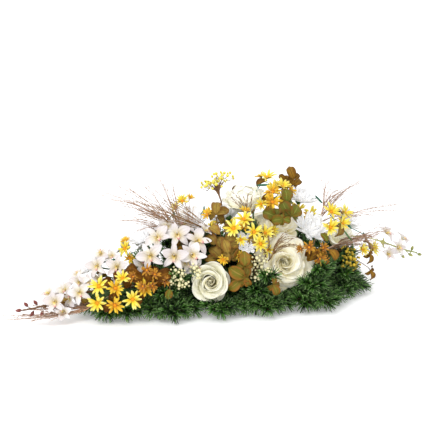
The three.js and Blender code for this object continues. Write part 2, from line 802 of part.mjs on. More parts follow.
function grass({ name, route, tips, sag = 0 }) {
  const make = (corners) => stemSkin(corners, SPRAY_RADIUS);
  const main = setStem(name, route.map(vec), SPRAY_RADIUS, make);
  if (!main) return;
  const solids = [main.solid];
  const places = alongLine(main.corners.slice(2));
  tips.forEach((tip, k) => {
    const end = vec(tip);
    const from = places[Math.max(0, places.length - 1 - 2 * k)];
    const [side] = squareTo(end.clone().sub(from));
    let found = null;
    for (const lift of GRASS_LIFTS) {
      for (const sway of GRASS_SWAYS) {
        const middle = from.clone().lerp(end, 0.5).addScaledVector(UP, lift - sag);
        middle.addScaledVector(side, sway);
        const strand = stemSkin([from, middle, end], GRASS_RADIUS);
        if (!crossedBy(strand)) found ??= strand;
      }
      if (found) break;
    }
    if (found) solids.push(found);
    else notes.push(name + ": no way to the tip at " + tip);
  });
  node(name, solids, LOOKS.grass);
}

const SPRAYS = [
  {
    name: "daisies_tip",
    look: "daisy",
    route: [[-360, -46, 62], [-410, -50, 60]],
    heads: [
      ["daisy", [-446, -50, 82], [-0.5, -0.75, 0.4]],
      ["daisy", [-416, -66, 78], [-0.2, -0.85, 0.5]],
      ["daisy", [-456, -66, 53], [-0.5, -0.85, 0.1]],
      ["daisy", [-424, -82, 48], [-0.2, -0.95, 0.2]],
      ["daisy", [-388, -92, 58], [-0.3, -0.9, 0.3]],
      ["daisy", [-360, -88, 78], [-0.2, -0.85, 0.4]],
      ["daisy", [-398, -62, 96], [-0.4, -0.7, 0.6], 0, 16],
    ],
  },
  {
    name: "orchid_left",
    look: "orchid",
    route: [[-222, -66, 128], [-262, -56, 138], [-308, -42, 140]],
    heads: [
      ["orchid", [-334, -62, 137], [-0.6, -0.75, 0.3], 10],
      ["orchid", [-287, -78, 134], [-0.45, -0.85, 0.3], -20],
      ["orchid", [-250, -88, 134], [-0.3, -0.85, 0.4], 24],
      ["orchid", [-307, -35, 165], [-0.5, -0.6, 0.6], 30],
      ["orchid", [-267, -48, 169], [-0.35, -0.7, 0.6], 0],
      ["orchid", [-231, -72, 158], [-0.2, -0.8, 0.55], 40],
    ],
  },
  {
    name: "orchid_low",
    look: "orchid",
    route: [[-385, -12, 96], [-424, -2, 104]],
    heads: [
      ["orchid", [-434, -8, 112], [-0.7, -0.6, 0.4], 10, 26],
      ["orchid", [-398, -30, 112], [-0.5, -0.75, 0.4], -20, 26],
    ],
  },
  {
    name: "orchid_tip",
    look: "orchid",
    route: [[-430, -14, 62], [-500, -8, 52], [-560, -8, 41], [-600, -6, 38]],
    heads: [
      ["orchid", [-532, -18, 50], [-0.5, -0.75, 0.4], 0, 26],
      ["orchid", [-504, 4, 62], [-0.5, -0.3, 0.8], 30, 26],
      ["orchid", [-482, -28, 66], [-0.4, -0.8, 0.45], 12, 26],
      ["orchid", [-474, -8, 80], [-0.5, -0.6, 0.6], -10, 24],
      ["bud", [-606, -6, 39], [-1, 0, 0.1]],
      ["bud", [-590, -5, 48], [-0.6, 0, 0.8]],
      ["bud", [-570, -5, 49], [-0.5, 0.1, 0.8]],
      ["bud", [-580, -12, 31], [-0.6, -0.4, -0.7]],
      ["bud", [-560, -14, 29], [-0.5, -0.4, -0.7]],
    ],
  },
  {
    name: "orchid_right",
    look: "orchid",
    route: [[180, -34, 112], [250, -36, 88], [300, -34, 66], [345, -26, 46], [384, -20, 32]],
    heads: [
      ["orchid", [282, -28, 96], [0.3, -0.6, 0.74], 0, 24],
      ["orchid", [300, -52, 66], [0.2, -0.9, 0.3], 30, 24],
      ["orchid", [344, -8, 66], [0.5, -0.3, 0.8], 10, 24],
      ["orchid", [262, -66, 60], [0.1, -0.9, 0.3], -20, 22],
      ["bud", [322, -44, 40], [0.5, -0.5, -0.7]],
      ["bud", [352, -34, 36], [0.6, -0.6, -0.4]],
      ["bud", [372, -14, 42], [0.6, 0.3, 0.8]],
      ["bud", [390, -20, 27], [0.9, 0, -0.3]],
    ],
  },
  {
    name: "orchid_back",
    look: "orchid",
    route: [[-275, 50, 112], [-310, 44, 118]],
    heads: [
      ["orchid", [-286, 78, 142], [-0.3, 0.75, 0.6], 0, 28],
      ["orchid", [-336, 72, 112], [-0.5, 0.75, 0.4], 20, 28],
      ["orchid", [-282, 96, 106], [-0.2, 0.9, 0.35], -20, 28],
    ],
  },
  {
    name: "daisies_centre",
    look: "daisy",
    route: [[-126, -70, 168]],
    heads: [
      ["daisy", [-152, -86, 180], [-0.5, -0.7, 0.5]],
      ["daisy", [-126, -82, 196], [-0.3, -0.6, 0.75]],
      ["daisy", [-112, -104, 172], [-0.3, -0.8, 0.5]],
      ["daisy", [-86, -104, 166], [0, -0.85, 0.5]],
      ["daisy", [-106, -122, 150], [-0.2, -0.9, 0.35]],
    ],
  },
  {
    name: "daisies_left",
    look: "daisy",
    route: [[-300, 10, 110], [-340, 0, 120]],
    heads: [
      ["daisy", [-368, 2, 138], [-0.5, -0.6, 0.6], 0, 17],
      ["daisy", [-228, 14, 224], [-0.3, -0.5, 0.8], 0, 16],
    ],
  },
  {
    name: "daisies_crown",
    look: "daisy",
    route: [[-28, -36, 216]],
    heads: [
      ["daisy", [-40, -52, 240], [-0.3, -0.6, 0.7]],
      ["daisy", [-12, -44, 248], [0.1, -0.5, 0.85]],
      ["daisy", [-48, -66, 222], [-0.3, -0.8, 0.5]],
      ["daisy", [-30, -8, 262], [-0.2, -0.3, 0.93]],
    ],
  },
  {
    name: "daisies_right",
    look: "daisy",
    route: [[140, -104, 84], [132, -120, 122], [98, -108, 164]],
    heads: [
      ["daisy", [82, -100, 192], [0, -0.7, 0.7]],
      ["daisy", [122, -94, 184], [0.4, -0.6, 0.7]],
      ["daisy", [64, -128, 166], [-0.1, -0.85, 0.5]],
      ["daisy", [98, -120, 170], [0.3, -0.85, 0.4]],
      ["daisy", [160, -112, 98], [0.2, -0.9, 0.3], 0, 15],
      ["daisy", [204, -88, 88], [0.5, -0.75, 0.3], 0, 18],
    ],
  },
  {
    name: "daisies_low_right",
    look: "amber",
    route: [[60, -90, 100]],
    heads: [
      ["daisy", [4, -140, 132], [-0.3, -0.85, 0.4], 0, 15],
      ["daisy", [20, -160, 110], [-0.1, -0.95, 0.2], 0, 15],
      ["daisy", [40, -138, 126], [0.1, -0.9, 0.4], 0, 14],
    ],
  },
  {
    name: "daisies_back",
    look: "daisy",
    route: [[-60, 100, 130]],
    heads: [
      ["daisy", [-84, 128, 130], [-0.2, 0.9, 0.4]],
      ["daisy", [-54, 134, 118], [0, 0.95, 0.3]],
      ["daisy", [-108, 122, 112], [-0.3, 0.9, 0.3]],
      ["daisy", [-52, 116, 150], [0.1, 0.8, 0.6]],
    ],
  },
  {
    name: "daisies_back_right",
    look: "daisy",
    route: [[110, 70, 130]],
    heads: [
      ["daisy", [112, 96, 146], [0.3, 0.7, 0.6]],
      ["daisy", [138, 82, 132], [0.6, 0.7, 0.4]],
      ["daisy", [106, 112, 116], [0.3, 0.9, 0.3]],
    ],
  },
  {
    name: "leaves_crown",
    look: "leafBrown",
    route: [[8, -10, 232], [18, -8, 250]],
    heads: [
      ["leaf", [28, -12, 270], [-0.4, -0.8, 0.4], 20, 34],
      ["leaf", [42, -14, 248], [0.1, -0.9, 0.4], -60, 30],
      ["leaf", [2, -18, 262], [-0.5, -0.8, 0.3], 50, 22],
      ["leaf", [-4, -16, 244], [-0.5, -0.8, 0.3], 100, 26],
    ],
  },
  {
    name: "leaves_eucalyptus",
    look: "leafGreen",
    broad: 0.92,
    route: [[-50, -82, 190], [-24, -76, 222]],
    heads: [
      ["leaf", [-20, -76, 238], [-0.2, -0.9, 0.4], 0, 34],
      ["leaf", [-30, -90, 214], [-0.3, -0.9, 0.3], 20, 34],
      ["leaf", [-70, -92, 205], [-0.5, -0.8, 0.3], 70, 34],
      ["leaf", [-6, -96, 206], [0.1, -0.9, 0.4], -50, 36],
      ["leaf", [-62, -114, 196], [-0.5, -0.8, 0.3], 100, 28],
    ],
  },
  {
    name: "leaves_amber_left",
    look: "amber",
    route: [[-330, -60, 84]],
    heads: [
      ["leaf", [-371, -66, 100], [-0.5, -0.8, 0.3], 60, 44],
      ["leaf", [-318, -92, 102], [-0.2, -0.9, 0.3], -70, 44],
      ["leaf", [-352, -84, 106], [-0.4, -0.8, 0.4], 20, 30],
      ["leaf", [-314, -110, 64], [-0.3, -0.9, 0.2], 170, 24],
    ],
  },
  {
    name: "leaves_amber_centre",
    look: "amber",
    route: [[-150, -96, 92]],
    heads: [
      ["leaf", [-168, -134, 98], [-0.4, -0.9, 0.2], 60, 44],
      ["leaf", [-146, -128, 124], [-0.3, -0.9, 0.3], 0, 36],
      ["leaf", [-176, -138, 72], [-0.4, -0.9, 0.1], 130, 36],
      ["leaf", [-92, -170, 58], [-0.2, -0.95, 0.1], 200, 28],
    ],
  },
  {
    name: "leaves_gold",
    look: "leafGold",
    route: [[-168, -60, 150], [-172, -40, 190]],
    heads: [
      ["leaf", [-176, -98, 148], [-0.4, -0.8, 0.4], 20, 34],
      ["leaf", [-160, -104, 134], [-0.3, -0.9, 0.3], -40, 32],
      ["leaf", [-168, -34, 216], [-0.4, -0.6, 0.7], 0, 36],
      ["leaf", [-150, -30, 204], [-0.3, -0.7, 0.6], -60, 32],
    ],
  },
  {
    name: "leaves_right",
    look: "leafBrown",
    route: [[130, -80, 90]],
    heads: [
      ["leaf", [48, -132, 148], [0, -0.9, 0.4], 30, 24],
      ["leaf", [184, -106, 70], [0.4, -0.9, 0.1], 170, 28],
      ["leaf", [156, -158, 50], [0.3, -0.95, 0.1], 190, 26],
    ],
  },
  {
    name: "leaves_back",
    look: "leafGreen",
    route: [[-30, 70, 190]],
    heads: [
      ["leaf", [-34, 92, 206], [0, 0.8, 0.6], 10, 36],
      ["leaf", [-4, 86, 192], [0.3, 0.8, 0.5], -60, 36],
      ["leaf", [-60, 88, 214], [-0.3, 0.7, 0.6], 60, 30],
    ],
  },
];

SPRAYS.forEach(spray);

const BERRIES = [
  {
    name: "berries_crown",
    look: "berryYellow",
    route: [[-139, 0, 214], [-150, 8, 250]],
    bunches: [{ at: [-151, 10, 268], spread: 34, count: 11, seed: 11 }],
  },
  {
    name: "berries_left",
    look: "berryPale",
    route: [[-262, -84, 92]],
    bunches: [
      { at: [-290, -106, 92], spread: 21, count: 7, seed: 21 },
      { at: [-250, -112, 108], spread: 11, count: 3, seed: 22 },
    ],
  },
  {
    name: "berries_centre",
    look: "berryYellow",
    route: [[-112, -110, 96]],
    bunches: [{ at: [-116, -140, 104], spread: 24, count: 8, seed: 31 }],
  },
  {
    name: "berries_right",
    look: "mustard",
    route: [[112, -90, 84]],
    bunches: [{ at: [122, -128, 84], spread: 22, count: 8, seed: 41 }],
  },
];

BERRIES.forEach(berries);

const GRASSES = [
  {
    name: "grass_tip",
    sag: 20,
    route: [[-425, -28, 44], [-478, -34, 26]],
    tips: [[-639, 0, 32], [-622, -14, 25], [-604, 12, 36], [-586, -28, 22], [-560, 24, 30]],
  },
  {
    name: "grass_left",
    route: [[-244, -20, 140], [-252, -12, 170]],
    tips: [
      [-412, 40, 262],
      [-363, 40, 266],
      [-380, 20, 211],
      [-305, 40, 260],
      [-274, 30, 274],
      [-250, 20, 267],
      [-217, 10, 240],
    ],
  },
  {
    name: "grass_centre",
    route: [[-78, -120, 112], [-84, -138, 132]],
    tips: [[-38, -150, 160], [-30, -160, 146], [-60, -150, 178], [-100, -150, 176], [-122, -160, 150]],
  },
  {
    name: "grass_right_high",
    route: [[95, -30, 150], [98, -40, 188]],
    tips: [
      [122, -10, 237],
      [149, -20, 215],
      [186, 0, 213],
      [228, 10, 223],
      [191, -60, 167],
      [316, -20, 164],
    ],
  },
  {
    name: "grass_right_low",
    route: [[84, -80, 100], [112, -104, 120]],
    tips: [[218, -90, 109], [250, -96, 132], [190, -120, 118], [168, -130, 130], [240, -110, 88]],
  },
];

GRASSES.forEach(grass);

const TOP_PICKS = [[-214, 4], [-136, 34], [-10, 12]];

TOP_PICKS.forEach(topPick);

// The finished former: its holes follow the stems, a little wider.
const foamMesh = holes.reduce((foam, hole) => foam.subtract(hole), foamBlank);
standing.shift();
node("foam_base", [foamMesh], LOOKS.foam);

export default wreath;
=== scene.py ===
# %% [markdown]
# # A teardrop funeral wreath
# A grave wreath of artificial flowers lies flat: fir picks edge a drop-shaped foam, and cloth
# roses, mums, orchids, daisies, leaves, berries and dry grass stand in it.
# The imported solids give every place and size. This script dresses each of them with fine petals,
# needles and blades, and gives each finish its own procedural material.

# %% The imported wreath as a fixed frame
import math

import bmesh
import bpy
import numpy as np
from mathutils import Matrix, Vector
from mathutils.kdtree import KDTree


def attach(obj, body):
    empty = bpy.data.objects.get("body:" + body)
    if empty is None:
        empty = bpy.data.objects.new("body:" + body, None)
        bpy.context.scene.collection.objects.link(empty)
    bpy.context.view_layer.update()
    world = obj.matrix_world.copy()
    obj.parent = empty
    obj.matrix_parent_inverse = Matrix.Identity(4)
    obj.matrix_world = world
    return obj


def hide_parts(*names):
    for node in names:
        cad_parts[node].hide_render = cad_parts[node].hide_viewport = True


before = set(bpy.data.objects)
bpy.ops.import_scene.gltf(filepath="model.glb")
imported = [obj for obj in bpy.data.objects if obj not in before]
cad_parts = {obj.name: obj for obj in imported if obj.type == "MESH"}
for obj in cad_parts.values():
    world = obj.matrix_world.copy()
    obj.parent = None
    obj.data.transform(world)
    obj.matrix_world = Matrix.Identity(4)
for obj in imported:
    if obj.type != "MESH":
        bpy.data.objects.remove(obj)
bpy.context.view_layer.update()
MM = 0.001
bpy.ops.object.select_all(action="DESELECT")
print("nodes in the frame:", len(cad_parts))

# %% [markdown]
# The wreath was seen from in front and a little above, turned so that its long tip comes nearer on
# the left. A long lens keeps the flowers at the two ends nearly the same size.

# %% Camera
CAMERA_PLACE = (-1.0568, -1.9315, 0.7998)
CAMERA_TARGET = (-0.1224, 0.0723, 0.1658)
CAMERA_LENS = 83.72

bpy.ops.object.camera_add(location=CAMERA_PLACE)
camera = bpy.context.object
sight = Vector(CAMERA_TARGET) - camera.location
camera.rotation_euler = sight.to_track_quat("-Z", "Y").to_euler()
camera.data.lens = CAMERA_LENS
bpy.context.scene.camera = camera
print("camera to wreath: %.2f m" % sight.length)

# %% [markdown]
# The light is a bright, soft studio: a white world fills every shadow, a lamp from the upper left
# gives the petals their form, and a broader, weaker one behind lights their rims.

# %% Studio
WORLD_STRENGTH = 0.96
LAMPS = [
    ("lamp_left", (-1.5, -0.9, 1.9), 0.9, 24),
    ("lamp_behind", (1.2, 1.6, 1.7), 1.4, 8),
]

world = bpy.data.worlds.new("white_room")
world.use_nodes = True
background = world.node_tree.nodes["Background"].inputs
background["Color"].default_value = (1.0, 1.0, 1.0, 1.0)
background["Strength"].default_value = WORLD_STRENGTH
bpy.context.scene.world = world
bpy.context.scene.view_settings.view_transform = "Standard"

for lamp_name, place, size, power in LAMPS:
    bpy.ops.object.light_add(type="AREA", location=place)
    lamp = bpy.context.object
    lamp.name = lamp_name
    lamp.data.size = size
    lamp.data.energy = power
    lamp.rotation_euler = (Vector(CAMERA_TARGET) - lamp.location).to_track_quat("-Z", "Y").to_euler()
print("lamps:", len(LAMPS))

# %% [markdown]
# Every finish starts from one shader. Small helpers add nodes and join them, so each material below
# reads as a list of what it does. Each petal, leaf or needle carries an attribute: how far across and
# along it a corner lies, and a tone drawn for the whole of it, so no two have quite the same shade.

# %% Helpers for materials
PLACE = "petal_place"
FINISH = {}


def new_finish(name, roughness, **constants):
    """A material with its shader; what is the same all over sits on the shader's own sockets."""
    finish = bpy.data.materials.new(name)
    finish.use_nodes = True
    shader = finish.node_tree.nodes["Principled BSDF"]
    shader.inputs["Roughness"].default_value = roughness
    for socket, value in constants.items():
        shader.inputs[socket.replace("_", " ")].default_value = value
    return finish, shader


def add_node(finish, kind, settings=None, **inputs):
    """Adds a node, applies its settings, and sets or links its inputs; i0 is its first input."""
    node = finish.node_tree.nodes.new("ShaderNode" + kind)
    for key, value in (settings or {}).items():
        setattr(node, key, value)
    for key, value in inputs.items():
        socket = node.inputs[int(key[1:]) if key[1:].isdigit() else key]
        if isinstance(value, bpy.types.NodeSocket):
            finish.node_tree.links.new(value, socket)
        else:
            socket.default_value = value
    return node


def worked_out(finish, operation, *numbers):
    """One step of arithmetic on sockets or plain numbers."""
    inputs = {"i%d" % k: number for k, number in enumerate(numbers)}
    return add_node(finish, "Math", {"operation": operation}, **inputs).outputs[0]


def stretched(finish, value, low, high, first=0.0, last=1.0):
    """A value's range from low to high, stretched to run from first to last."""
    return add_node(finish, "MapRange", Value=value, i1=low, i2=high, i3=first, i4=last).outputs["Result"]


def noise(finish, vector, scale, detail):
    return add_node(finish, "TexNoise", Vector=vector, Scale=scale, Detail=detail).outputs["Fac"]


def ramp(finish, share, stops):
    """Colours along a share from 0 to 1; a stop is its place and its red, green and blue."""
    node = add_node(finish, "ValToRGB", Fac=share)
    elements = node.color_ramp.elements
    while len(elements) < len(stops):
        elements.new(0.5)
    for element, (place, *colour) in zip(elements, stops):
        element.position = place
        element.color = (*colour, 1)
    return node.outputs["Color"]


def mixed(finish, share, first, second, blend="MIX"):
    """Two colours mixed by a share."""
    colours = [(*colour, 1) if isinstance(colour, tuple) else colour for colour in (first, second)]
    settings = {"data_type": "RGBA", "blend_type": blend}
    return add_node(finish, "Mix", settings, i0=share, i6=colours[0], i7=colours[1]).outputs[2]


def toned(finish, colour, tone, shade):
    """A colour, multiplied by a shade as far as the tone says."""
    return mixed(finish, tone, colour, mixed(finish, 1.0, colour, shade, "MULTIPLY"))


def begun(name, roughness, **constants):
    """A material and its shader, the place on the petal whole and in parts, the place on the object."""
    finish, shader = new_finish(name, roughness, **constants)
    place = add_node(finish, "Attribute", {"attribute_name": PLACE}).outputs["Vector"]
    parts = add_node(finish, "SeparateXYZ", Vector=place).outputs
    return finish, shader, place, parts, add_node(finish, "TexCoord").outputs["Object"]


def joined_up(finish, shader, colour, height, strength=0.4, distance=0.0006):
    """Links the colour, and a height as bump, to the shader."""
    finish.node_tree.links.new(colour, shader.inputs["Base Color"])
    bump = add_node(finish, "Bump", Strength=strength, Distance=distance, Height=height)
    finish.node_tree.links.new(bump.outputs["Normal"], shader.inputs["Normal"])
    return finish


# %% [markdown]
# Pressed cloth petals are darker at the heart, pale at the rim, and carry fine veins that run from
# the base to the tip, over a weave that only shows as bump. On the ivory, cream and heart cloths the
# dark yellow base is partly the cloth's own colour and partly painted shade for the deep middle of a
# flower. White and cream cloth lets light through, which a faint painted glow stands for; the glow
# also lifts the shade between crowded petals. A row gives the colours from base to tip, and the veins'.

# %% Petal cloth
WEAVE_SCALE = 700.0
PETAL_ROUGHNESS = 0.75
# The emission on the cream, pale cream and white cloths is a painted glow that brightens their shaded petals.
PETALS = {
    "ivory": (
        "ivory_petals",
        [(0.0, 0.54, 0.5, 0.1), (0.35, 0.76, 0.73, 0.34), (0.7, 0.88, 0.86, 0.66), (1.0, 0.93, 0.91, 0.8)],
        (0.78, 0.75, 0.5),
        dict(shade=(0.92, 0.91, 0.84)),
    ),
    "cream": (
        "cream_petals",
        [
            (0.0, 0.72, 0.54, 0.06), (0.35, 0.91, 0.78, 0.3),
            (0.68, 0.95, 0.91, 0.68), (1.0, 0.97, 0.95, 0.86),
        ],
        (0.88, 0.78, 0.46),
        dict(shade=(0.95, 0.94, 0.88), Emission_Color=(1, 0.95, 0.8, 1), Emission_Strength=0.08),
    ),
    "pale_cream": (
        "pale_cream_petals",
        [(0.0, 0.76, 0.7, 0.24), (0.35, 0.94, 0.9, 0.6), (0.7, 0.97, 0.96, 0.84), (1.0, 0.98, 0.97, 0.92)],
        (0.92, 0.89, 0.66),
        dict(shade=(0.97, 0.96, 0.92), Emission_Color=(1, 0.97, 0.88, 1), Emission_Strength=0.06),
    ),
    "heart": (
        "rose_heart_petals",
        [(0.0, 0.84, 0.74, 0.18), (0.45, 0.9, 0.82, 0.34), (0.8, 0.94, 0.88, 0.54), (1.0, 0.95, 0.92, 0.72)],
        (0.84, 0.74, 0.34),
        dict(shade=(0.95, 0.93, 0.86)),
    ),
    "white": (
        "white_petals",
        [(0.0, 0.94, 0.93, 0.9), (0.4, 0.97, 0.97, 0.97), (1.0, 0.985, 0.985, 0.99)],
        (0.92, 0.92, 0.96),
        dict(shade=(0.97, 0.97, 0.97), Emission_Color=(1, 1, 1, 1), Emission_Strength=0.14),
    ),
    # The orchid's violet-grey veins are partly the cloth's veining and partly painted shade that sets the
    # petals apart.
    "orchid": (
        "orchid_petals",
        [(0.0, 0.8, 0.62, 0.1), (0.25, 0.84, 0.78, 0.58), (0.55, 0.86, 0.83, 0.8), (1.0, 0.9, 0.88, 0.88)],
        (0.52, 0.45, 0.46),
        dict(vein_share=0.45, shade=(0.84, 0.8, 0.8), lines=22.0),
    ),
    "lip": (
        "orchid_lips",
        [(0.0, 0.84, 0.58, 0.08), (0.5, 0.92, 0.76, 0.26), (0.78, 0.92, 0.72, 0.6), (1.0, 0.76, 0.14, 0.26)],
        (0.84, 0.55, 0.16),
        {},
    ),
    "daisy": (
        "daisy_petals",
        [
            (0.0, 0.86, 0.42, 0.01), (0.18, 0.95, 0.7, 0.02),
            (0.45, 0.98, 0.87, 0.07), (1.0, 0.99, 0.95, 0.34),
        ],
        (0.95, 0.74, 0.03),
        dict(vein_share=0.25, shade=(0.96, 0.82, 0.45)),
    ),
    "golden": (
        "golden_petals",
        [(0.0, 0.62, 0.24, 0.01), (0.4, 0.9, 0.58, 0.01), (1.0, 0.96, 0.76, 0.06)],
        (0.76, 0.38, 0.01),
        dict(shade=(0.92, 0.74, 0.4)),
    ),
    "amber": (
        "amber_petals",
        [(0.0, 0.3, 0.08, 0.005), (0.4, 0.54, 0.23, 0.008), (1.0, 0.72, 0.4, 0.02)],
        (0.38, 0.13, 0.005),
        dict(shade=(0.72, 0.56, 0.4)),
    ),
}


def petal_cloth(name, stops, vein, vein_share=0.35, shade=(0.86, 0.86, 0.86), lines=16.0, **constants):
    """Cloth with so many veins across it; the shade is what a petal of the highest tone turns to."""
    finish, shader, place, parts, spots = begun(name, PETAL_ROUGHNESS, Sheen_Weight=0.15, **constants)
    drawn_out = add_node(finish, "Mapping", Vector=place, Scale=(lines, 1.6, 9.0)).outputs["Vector"]
    veins = noise(finish, drawn_out, 1.0, 2.0)
    lined = worked_out(finish, "MULTIPLY", stretched(finish, veins, 0.42, 0.68), vein_share)
    colour = mixed(finish, lined, ramp(finish, parts["Y"], stops), vein)
    height = worked_out(finish, "MULTIPLY_ADD", noise(finish, spots, WEAVE_SCALE, 2.0), 0.3, veins)
    return joined_up(finish, shader, toned(finish, colour, parts["Z"], shade), height)


for kind, (name, stops, vein, options) in PETALS.items():
    FINISH[kind] = petal_cloth(name, stops, vein, **options)
print("petal cloths:", len(FINISH))

# %% [markdown]
# Leaves are printed cloth too. A dark rib runs up the middle, side veins branch from it, and the rim
# has browned: the blade's colour is mixed towards the rim colour by how near a corner is to an edge,
# with some noise so that the brown creeps inwards unevenly. A row gives blade, rim and rib.

# %% Leaf cloth
LEAF_ROUGHNESS = 0.6
LEAF_SHADE = (0.62, 0.58, 0.55)
SIDE_VEINS = 50.0
BLOTCH_SCALE = 90.0
LEAVES = {
    "leaf_green": ("green_leaves", (0.14, 0.155, 0.01), (0.24, 0.095, 0.006), (0.27, 0.27, 0.045)),
    "leaf_amber": ("amber_leaves", (0.24, 0.09, 0.002), (0.115, 0.036, 0.002), (0.34, 0.15, 0.006)),
    "leaf_blush": ("blush_leaves", (0.18, 0.17, 0.012), (0.32, 0.12, 0.012), (0.36, 0.23, 0.045)),
    "leaf_brown": ("brown_leaves", (0.36, 0.185, 0.012), (0.19, 0.08, 0.006), (0.14, 0.07, 0.008)),
    "leaf_gold": ("golden_leaves", (0.42, 0.29, 0.05), (0.27, 0.12, 0.02), (0.24, 0.14, 0.03)),
}


def leaf_cloth(name, blade, rim, rib):
    finish, shader, _, parts, spots = begun(name, LEAF_ROUGHNESS, Specular_IOR_Level=0.22)
    away = worked_out(finish, "ABSOLUTE", worked_out(finish, "SUBTRACT", parts["X"], 0.5))
    ribbed = stretched(finish, away, 0.015, 0.05, 1.0, 0.0)
    slant = worked_out(finish, "SUBTRACT", parts["Y"], away)
    wave = worked_out(finish, "SINE", worked_out(finish, "MULTIPLY", slant, SIDE_VEINS))
    lines = worked_out(finish, "MAXIMUM", ribbed, stretched(finish, wave, 0.75, 1.0, 0.0, 0.6))
    edge = worked_out(finish, "MULTIPLY_ADD", noise(finish, spots, BLOTCH_SCALE, 4.0), 1.1, away)
    tip = worked_out(finish, "MULTIPLY_ADD", parts["Y"], 0.12, edge)
    colour = mixed(finish, stretched(finish, tip, 0.74, 1.05, 0.0, 0.9), blade, rim)
    colour = toned(finish, mixed(finish, lines, colour, rib), parts["Z"], LEAF_SHADE)
    return joined_up(finish, shader, colour, lines, strength=0.6)


for kind, row in LEAVES.items():
    FINISH[kind] = leaf_cloth(*row)
print("finishes:", len(FINISH))

# %% [markdown]
# The small hard things are dyed plastic, foam or dried stalks. Their colours break up with noise in
# object space, and along a needle or a berry the attribute's second number runs from root to tip.
# A row gives the colours from root to tip and the roughness. On the fir needles the near-black root
# is painted shade for the inside of a brush and the pale tip a painted highlight; the tone that
# darkens some needles almost to black is partly random tone and partly painted shade between them.

# %% Needles, stems, berries, grass and foam
GRAINED = {
    # Needles: painted shade at the root, painted highlight at the tip, near-black tone partly painted shade.
    "needle": (
        "fir_needles",
        [
            (0.0, 0.006, 0.03, 0.004), (0.25, 0.035, 0.14, 0.012),
            (0.7, 0.1, 0.28, 0.03), (1.0, 0.3, 0.48, 0.17),
        ],
        0.34,
        dict(tone=(0.02, 0.05, 0.02), Specular_IOR_Level=0.35),
    ),
    "twig": ("fir_twigs", [(0.0, 0.13, 0.05, 0.03), (1.0, 0.26, 0.1, 0.06)], 0.8, dict(grain=500.0)),
    "stem": ("green_stems", [(0.0, 0.03, 0.1, 0.03), (1.0, 0.1, 0.22, 0.06)], 0.6, dict(grain=60.0)),
    "brown_stem": (
        "brown_stems",
        [(0.0, 0.13, 0.06, 0.025), (1.0, 0.26, 0.14, 0.06)],
        0.75,
        dict(grain=80.0),
    ),
    "sepal": ("green_sepals", [(0.0, 0.05, 0.14, 0.03), (1.0, 0.16, 0.28, 0.06)], 0.65, {}),
    "disc": (
        "daisy_discs",
        [(0.0, 0.42, 0.1, 0.01), (1.0, 0.92, 0.36, 0.01)],
        0.9,
        dict(grain=900.0, strength=1.0),
    ),
    "grass": ("dry_grass", [(0.0, 0.5, 0.28, 0.16), (1.0, 0.74, 0.52, 0.4)], 0.9, dict(grain=300.0)),
    "straw": ("brown_straw", [(0.0, 0.28, 0.14, 0.045), (1.0, 0.46, 0.27, 0.11)], 0.9, dict(grain=300.0)),
    "tape": ("stem_tape", [(0.0, 0.005, 0.1, 0.05), (1.0, 0.01, 0.2, 0.11)], 0.6, dict(grain=60.0)),
    "berry_yellow": (
        "yellow_berries",
        [(0.0, 0.72, 0.46, 0.01), (0.4, 0.96, 0.8, 0.04), (1.0, 0.98, 0.9, 0.18)],
        0.45,
        {},
    ),
    "berry_pale": (
        "pale_berries",
        [(0.0, 0.5, 0.46, 0.1), (0.4, 0.88, 0.82, 0.38), (1.0, 0.94, 0.88, 0.55)],
        0.45,
        {},
    ),
    "berry_mustard": (
        "mustard_berries",
        [(0.0, 0.22, 0.15, 0.01), (0.5, 0.55, 0.38, 0.02), (1.0, 0.8, 0.56, 0.03)],
        0.5,
        {},
    ),
    "bud_red": ("red_brown_buds", [(0.0, 0.16, 0.04, 0.02), (1.0, 0.3, 0.05, 0.04)], 0.5, {}),
    "bud_green": ("green_buds", [(0.0, 0.22, 0.26, 0.05), (1.0, 0.55, 0.52, 0.18)], 0.5, {}),
    "foam": (
        "foam_skin",
        [(0.0, 0.02, 0.055, 0.015), (1.0, 0.05, 0.12, 0.03)],
        0.95,
        dict(grain=1400.0, strength=1.0),
    ),
}


def grained(name, stops, roughness, grain=160.0, tone=(0.6, 0.6, 0.6), strength=0.5, **constants):
    finish, shader, _, parts, spots = begun(name, roughness, **constants)
    flecks = noise(finish, spots, grain, 4.0)
    along = worked_out(finish, "ADD", worked_out(finish, "MULTIPLY_ADD", flecks, 0.3, -0.15), parts["Y"])
    colour = toned(finish, ramp(finish, along, stops), parts["Z"], tone)
    return joined_up(finish, shader, colour, flecks, strength, 0.0004)


for kind, (name, stops, roughness, options) in GRAINED.items():
    FINISH[kind] = grained(name, stops, roughness, **options)
print("finishes:", len(FINISH))

# %% [markdown]
# A petal is cut from a flat sheet and shaped as a maker does it: the sheet is cupped across, trimmed
# row by row to its outline, its rim is ruffled, and at last it is curled from the tip down. The
# sheet's corners are numbered row by row, so a row or a column can be chosen at any time.
# The turning operator counts the other way round, which one sign puts right.

# %% Shaping a sheet
ROTATE_SIGN = -1
NEXT_ROW_SHARE = 0.45


def choose(obj, test):
    """Selects the corners of a mesh that pass the test."""
    mesh = bmesh.from_edit_mesh(obj.data)
    for corner in mesh.verts:
        corner.select = test(corner)
    mesh.select_flush_mode()
    bmesh.update_edit_mesh(obj.data)


def turn(angle, axis, centre):
    """Turns what is selected about an axis through a centre, the right-handed way."""
    bpy.ops.transform.rotate(value=ROTATE_SIGN * angle, orient_axis=axis, center_override=centre)


def apply_all(obj):
    """Applies an object's modifiers from the top down."""
    bpy.context.view_layer.objects.active = obj
    for modifier in list(obj.modifiers):
        bpy.ops.object.modifier_apply(modifier=modifier.name)


